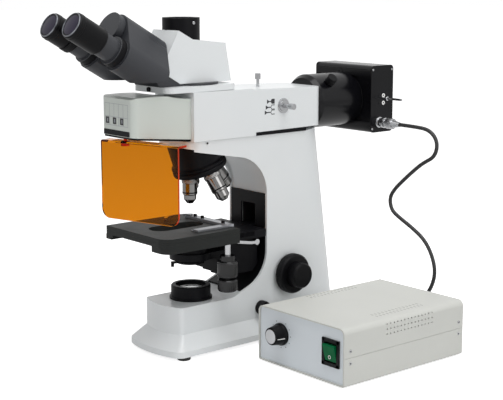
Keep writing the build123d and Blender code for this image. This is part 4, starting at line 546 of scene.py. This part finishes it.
# Nose front: a printed frame for the filter positions, left blank, with three dark squares.
# Below it a bare black plate is glued to the enamel.
ink = Finish("black_ink", paint(34, 35, 38), 0.55)
ink_grain = ink.noise(900.0, 2.0)
ink.set(Base_Color=ink.mix(ink_grain * 0.5, paint(30, 31, 34), paint(52, 53, 56)))
grey_line = Finish("grey_line", paint(150, 154, 160), 0.5)
grey_grain = grey_line.noise(700.0, 2.0)
grey_line.set(Base_Color=grey_line.mix(grey_grain * 0.5, paint(146, 150, 157), paint(168, 171, 176)))
nose_front = -126.0
chart_left, chart_right, chart_low, chart_high = -29.0, 26.0, 339.6, 369.8
chart_width, chart_height = chart_right - chart_left, chart_high - chart_low
chart_middle = (chart_left + chart_right) / 2
for number in range(6):
    x = chart_left + chart_width * number / 5
    plate(f"chart_upright_{number}", 0.5, chart_height, 0.12, 0.1,
          (x, nose_front, (chart_low + chart_high) / 2), front, upright, grey_line.material, "stand")
for number, z in enumerate((chart_low, chart_low + 12.0, chart_high)):
    plate(f"chart_line_{number}", chart_width + 0.5, 0.5, 0.12, 0.1, (chart_middle, nose_front, z),
          front, upright, grey_line.material, "stand")
for number in range(3):
    x = -23.2 + 17.4 * number
    plate(f"chart_square_{number}", 8.2, 9.4, 0.16, 0.4, (x, nose_front, chart_low + 6.4),
          front, upright, ink.material, "stand")
    plate(f"chart_window_{number}", 2.0, 5.0, 0.2, 0.3, (x + 0.6, nose_front, chart_low + 6.4),
          front, upright, grey_line.material, "stand")
trim = Finish("black_trim", paint(10, 10, 11), 0.4, Specular_IOR_Level=0.12)
trim_grain = trim.noise(600.0, 2.0)
trim.set(Base_Color=trim.mix(trim_grain, paint(9, 9, 10), paint(17, 17, 19)))
plate("nose_plate", 62.0, 7.4, 0.5, 0.8, (-1.2, nose_front, 329.6), front, upright, trim.material, "stand")


# Beam symbols beside the push rod: three printed dumbbells, plain and generic.
# Each has a small solid head, a neck and a square head, filled on the top one only.
def patch(name, outline, thick, at, material, body):
    """Flat printed shape on the right wall, from (along Y, up) points in mm."""
    mesh = bpy.data.meshes.new(name)
    build = bmesh.new()
    low = [build.verts.new((0.0, y / 1000, z / 1000)) for y, z in outline]
    high = [build.verts.new((thick / 1000, y / 1000, z / 1000)) for y, z in outline]
    build.faces.new(high)
    build.faces.new(list(reversed(low)))
    for step in range(len(outline)):
        after = (step + 1) % len(outline)
        build.faces.new((low[step], low[after], high[after], high[step]))
    return settle(name, mesh, build, at, (0, 0, 1), material, body, smooth=False)


right_wall = 46.0
rod_side = 124.0
symbols = ((108.9, 360.8, True), (106.6, 352.3, False), (104.7, 344.8, False))
for number, (start, height, solid) in enumerate(symbols):
    spot = (right_wall, start, height)
    reach = rod_side - start
    head = reach - 8.2
    tail = [(0, -3.3), (4.2, -0.8), (head, -0.8), (head, 0.8), (4.2, 0.8), (0, 3.3)]
    patch(f"symbol_tail_{number}", tail, 0.12, spot, ink.material, "stand")
    if solid:
        block = [(head, 0), (head + 2.4, -3.6), (reach, -3.6), (reach, 3.6), (head + 2.4, 3.6)]
        patch(f"symbol_head_{number}", block, 0.12, spot, ink.material, "stand")
    else:
        low_edge = [(head, 0), (head + 2.4, -3.6), (reach, -3.6), (reach, -2.5), (head + 2.8, -2.5),
                    (head + 1.0, 0)]
        high_edge = [(head, 0), (head + 1.0, 0), (head + 2.8, 2.5), (reach, 2.5), (reach, 3.6),
                     (head + 2.4, 3.6)]
        patch(f"symbol_low_{number}", low_edge, 0.12, spot, ink.material, "stand")
        patch(f"symbol_high_{number}", high_edge, 0.12, spot, ink.material, "stand")


# Power box: folded steel halves in off-white enamel, screwed together along a seam.
# The panels at both ends are set back and painted a cooler grey.
box_colour = paint(204, 205, 200)
box_paint = Finish("box_enamel", box_colour, 0.45)
box_cloud = box_paint.noise(18.0, 3.0)
box_paint.set(Base_Color=box_paint.mix(box_cloud * 0.6, box_colour, paint(194, 195, 190)))
box_paint.relief(box_paint.noise(1200.0, 3.0), 0.22, 0.0003, 0.0008)
box_paint.wear("box_tray", "box_cover")
panel_colour = paint(216, 222, 227)
panel_paint = Finish("panel_enamel", panel_colour, 0.42)
panel_cloud = panel_paint.noise(16.0, 3.0)
panel_coat = panel_paint.mix(panel_cloud * 0.6, panel_colour, paint(209, 216, 221))
across, along, above = panel_paint.apart()
in_width = (across - 0.269).size().below(0.0166)
in_height = (above - 0.0453).size().below(0.0191)
rocker_frame = in_width * in_height * along.below(0.06)
panel_paint.set(Base_Color=panel_paint.mix(rocker_frame, panel_coat, paint(10, 10, 11)))
panel_paint.relief(panel_paint.noise(1100.0, 2.0), 0.12, 0.0002, 0.0005)
panel_paint.wear("box_panels")
# Black sheet standing just inside the box's right side.
plate("box_side_black_sheet", 96.0, 20.0, 0.3, 1.0, (293.3, 155.5, 69.0), (1, 0, 0), (0, 0, 1), ink.material, "stand")
# Vent slots on the box's top are flat grey plates: painted shade of the slots, not openings.
vent_slot_painted_shade = Finish("vent_slot_painted_shade_finish", paint(150, 150, 146), 0.7)
slot_grain = vent_slot_painted_shade.noise(500.0, 1.0)
vent_slot_painted_shade.set(Base_Color=vent_slot_painted_shade.mix(slot_grain * 0.5, paint(146, 146, 142), paint(162, 162, 158)))
for row, x in enumerate((134.5, 143.5, 266.5, 275.5)):
    for number in range(14):
        plate(f"box_slot_{row}_{number}", 5.6, 1.5, 0.06, 0.7, (x, 110.0 + 7.0 * number, 83.0),
              (0, 0, 1), (0, 1, 0), vent_slot_painted_shade.material, "stand")
iron = Finish("varnished_core", paint(96, 84, 70), 0.5, 0.4)
laminations = iron.noise(500.0, 2.0)
iron.set(Base_Color=iron.mix(laminations, paint(82, 72, 60), paint(120, 92, 60)))
iron.wear("transformer")


# Regulator knob on the power box: fluted nylon with an inset silver cap and a white pointer line.
# Printed dots mark its turn on the panel.
knob_at = (167.5, 30.5, 48.5)
grip("supply_grip", 13.6, 5.4, 18.9, 16, 0.9, knob_at, (0, -1, 0), nylon.material, "supply_knob", 2.0)
cap_alloy = Finish("spun_cap", paint(186, 187, 189), 0.42, 1.0)
cap_turning = cap_alloy.noise(500.0, 1.0)
cap_alloy.set(Roughness=0.36 + cap_turning * 0.14)
lathe("supply_cap", [(10.2, 19.9), (10.2, 20.3), (9.8, 20.7), (4.5, 20.85), (0.0, 20.9)], knob_at,
      front, cap_alloy.material, "supply_knob", 48)
pointer_way = Vector((cos(radians(-8)), 0.0, sin(radians(-8))))
plate("supply_pointer", 1.1, 12.5, 0.3, 0.4, Vector(knob_at) + pointer_way * 14.3 + Vector((0, -12.4, 0)),
      pointer_way + Vector((0, -0.15, 0)), (0, -1, 0.0), mark.material, "supply_knob")
dial_radius = 19.5
panel_front = knob_at[1]
for number in range(11):
    angle = radians(-240 + 30 * number)
    dot_at = (knob_at[0] + dial_radius * cos(angle), panel_front, knob_at[2] + dial_radius * sin(angle))
    lathe(f"dial_dot_{number}", [(0.75, 0.0), (0.75, 0.1), (0.0, 0.14)], dot_at, front, ink.material,
          "stand", 16)


# Mains rocker: green translucent cap in a black snap-in bezel, marked with a bar and a ring.
# The bezel's flange stands proud of the panel.
green = Finish("green_cap", paint(2, 84, 46), 0.3, Specular_IOR_Level=0.06)
glow = green.noise(120.0, 2.0)
green.set(Base_Color=green.mix(glow, paint(0, 76, 44), paint(2, 98, 58)))
# Its faint green emission is painted glow, as of light through the translucent cap.
green.set(Emission_Color=paint(0, 90, 46), Emission_Strength=0.12)
green.wear("supply_rocker")
rails = ((254.9, 45.3, 4.8, 38.0), (283.1, 45.3, 4.8, 38.0), (269.0, 61.9, 33.0, 4.8),
         (269.0, 28.7, 33.0, 4.8))
for number, (x, z, width, height) in enumerate(rails):
    plate(f"bezel_rail_{number}", width, height, 0.5, 0.6, (x, 28.5, z), front, upright, trim.material,
          "stand")
plate("rocker_bar", 1.3, 5.0, 0.15, 0.3, (269.0, 28.05, 51.0), front, upright, mark.material,
      "supply_rocker")
lathe("rocker_ring", [(1.7, 0.0), (1.7, 0.15), (2.6, 0.15), (2.6, 0.0)], (269.0, 27.0, 39.5), front,
      mark.material, "supply_rocker", 32)


# Studio: pale sweep of floor and three soft lamps, the widest above and to the right.
# The floor and the sky look white to the eye and to polished metal, and still take the shadow.
def softbox(name, at, size, power):
    """Square soft lamp that faces the microscope."""
    lamp = bpy.data.lights.new(name, "AREA")
    lamp.shape = "SQUARE"
    lamp.size = size
    lamp.energy = power
    holder = bpy.data.objects.new(name, lamp)
    bpy.context.scene.collection.objects.link(holder)
    holder.location = at
    holder.rotation_euler = (Vector((0.05, 0.05, 0.22)) - Vector(at)).to_track_quat("-Z", "Y").to_euler()


softbox("lamp_over", (0.5, -0.1, 2.3), 1.5, 30.5)
softbox("lamp_right", (2.3, 0.3, 1.2), 1.4, 16.5)
softbox("lamp_front", (0.2, -2.4, 0.6), 1.2, 7.0)
floor_mesh = bpy.data.meshes.new("floor")
reach = 14.0
corners = [(-reach, -reach, 0), (reach, -reach, 0), (reach, reach, 0), (-reach, reach, 0)]
floor_mesh.from_pydata(corners, [], [(0, 1, 2, 3)])
floor = bpy.data.objects.new("floor", floor_mesh)
bpy.context.scene.collection.objects.link(floor)
sweep = Finish("floor_sweep", (0.76, 0.76, 0.76, 1.0), 0.75, Specular_IOR_Level=0.1)
ray = "ShaderNodeLightPath"
mirrored = sweep.node(ray, output="Is Glossy Ray") + sweep.node(ray, output="Is Transmission Ray")
mirrored = mirrored.above(0.5)
shown_level = sweep.node(ray, output="Is Camera Ray") * 0.8 + mirrored * 0.3
glow_level = sweep.mix(shown_level, (0.0, 0.0, 0.0, 1.0), (1.0, 1.0, 1.0, 1.0))
sweep.set(Emission_Color=glow_level, Emission_Strength=1.0)
dress(floor, sweep.material)
world = bpy.data.worlds.new("studio")
world.use_nodes = True
sky = world.node_tree.nodes["Background"]
sky.inputs["Color"].default_value = (1.0, 1.0, 1.0, 1.0)
path = world.node_tree.nodes.new("ShaderNodeLightPath")
seen, shiny, through = (Link(world.node_tree, path.outputs[name])
                        for name in ("Is Camera Ray", "Is Glossy Ray", "Is Transmission Ray"))
shown = (seen + shiny + through).above(0.5)
level = shown * 0.64 + 0.36
world.node_tree.links.new(level.socket, sky.inputs["Strength"])
bpy.context.scene.world = world
bpy.context.scene.view_settings.view_transform = "Standard"


# Camera: a long lens on the microscope's front right, a little above its stage.
# The frame is as wide as the stand and its power box together.
lens = bpy.data.cameras.new("camera")
lens.lens = 90.97
lens.sensor_width = 36.0
lens.clip_end = 60.0
camera = bpy.data.objects.new("camera", lens)
bpy.context.scene.collection.objects.link(camera)
camera.location = (1.4535, -1.1167, 0.5527)
camera.rotation_euler = (radians(79.71), 0.0, radians(49.65))
bpy.context.scene.camera = camera
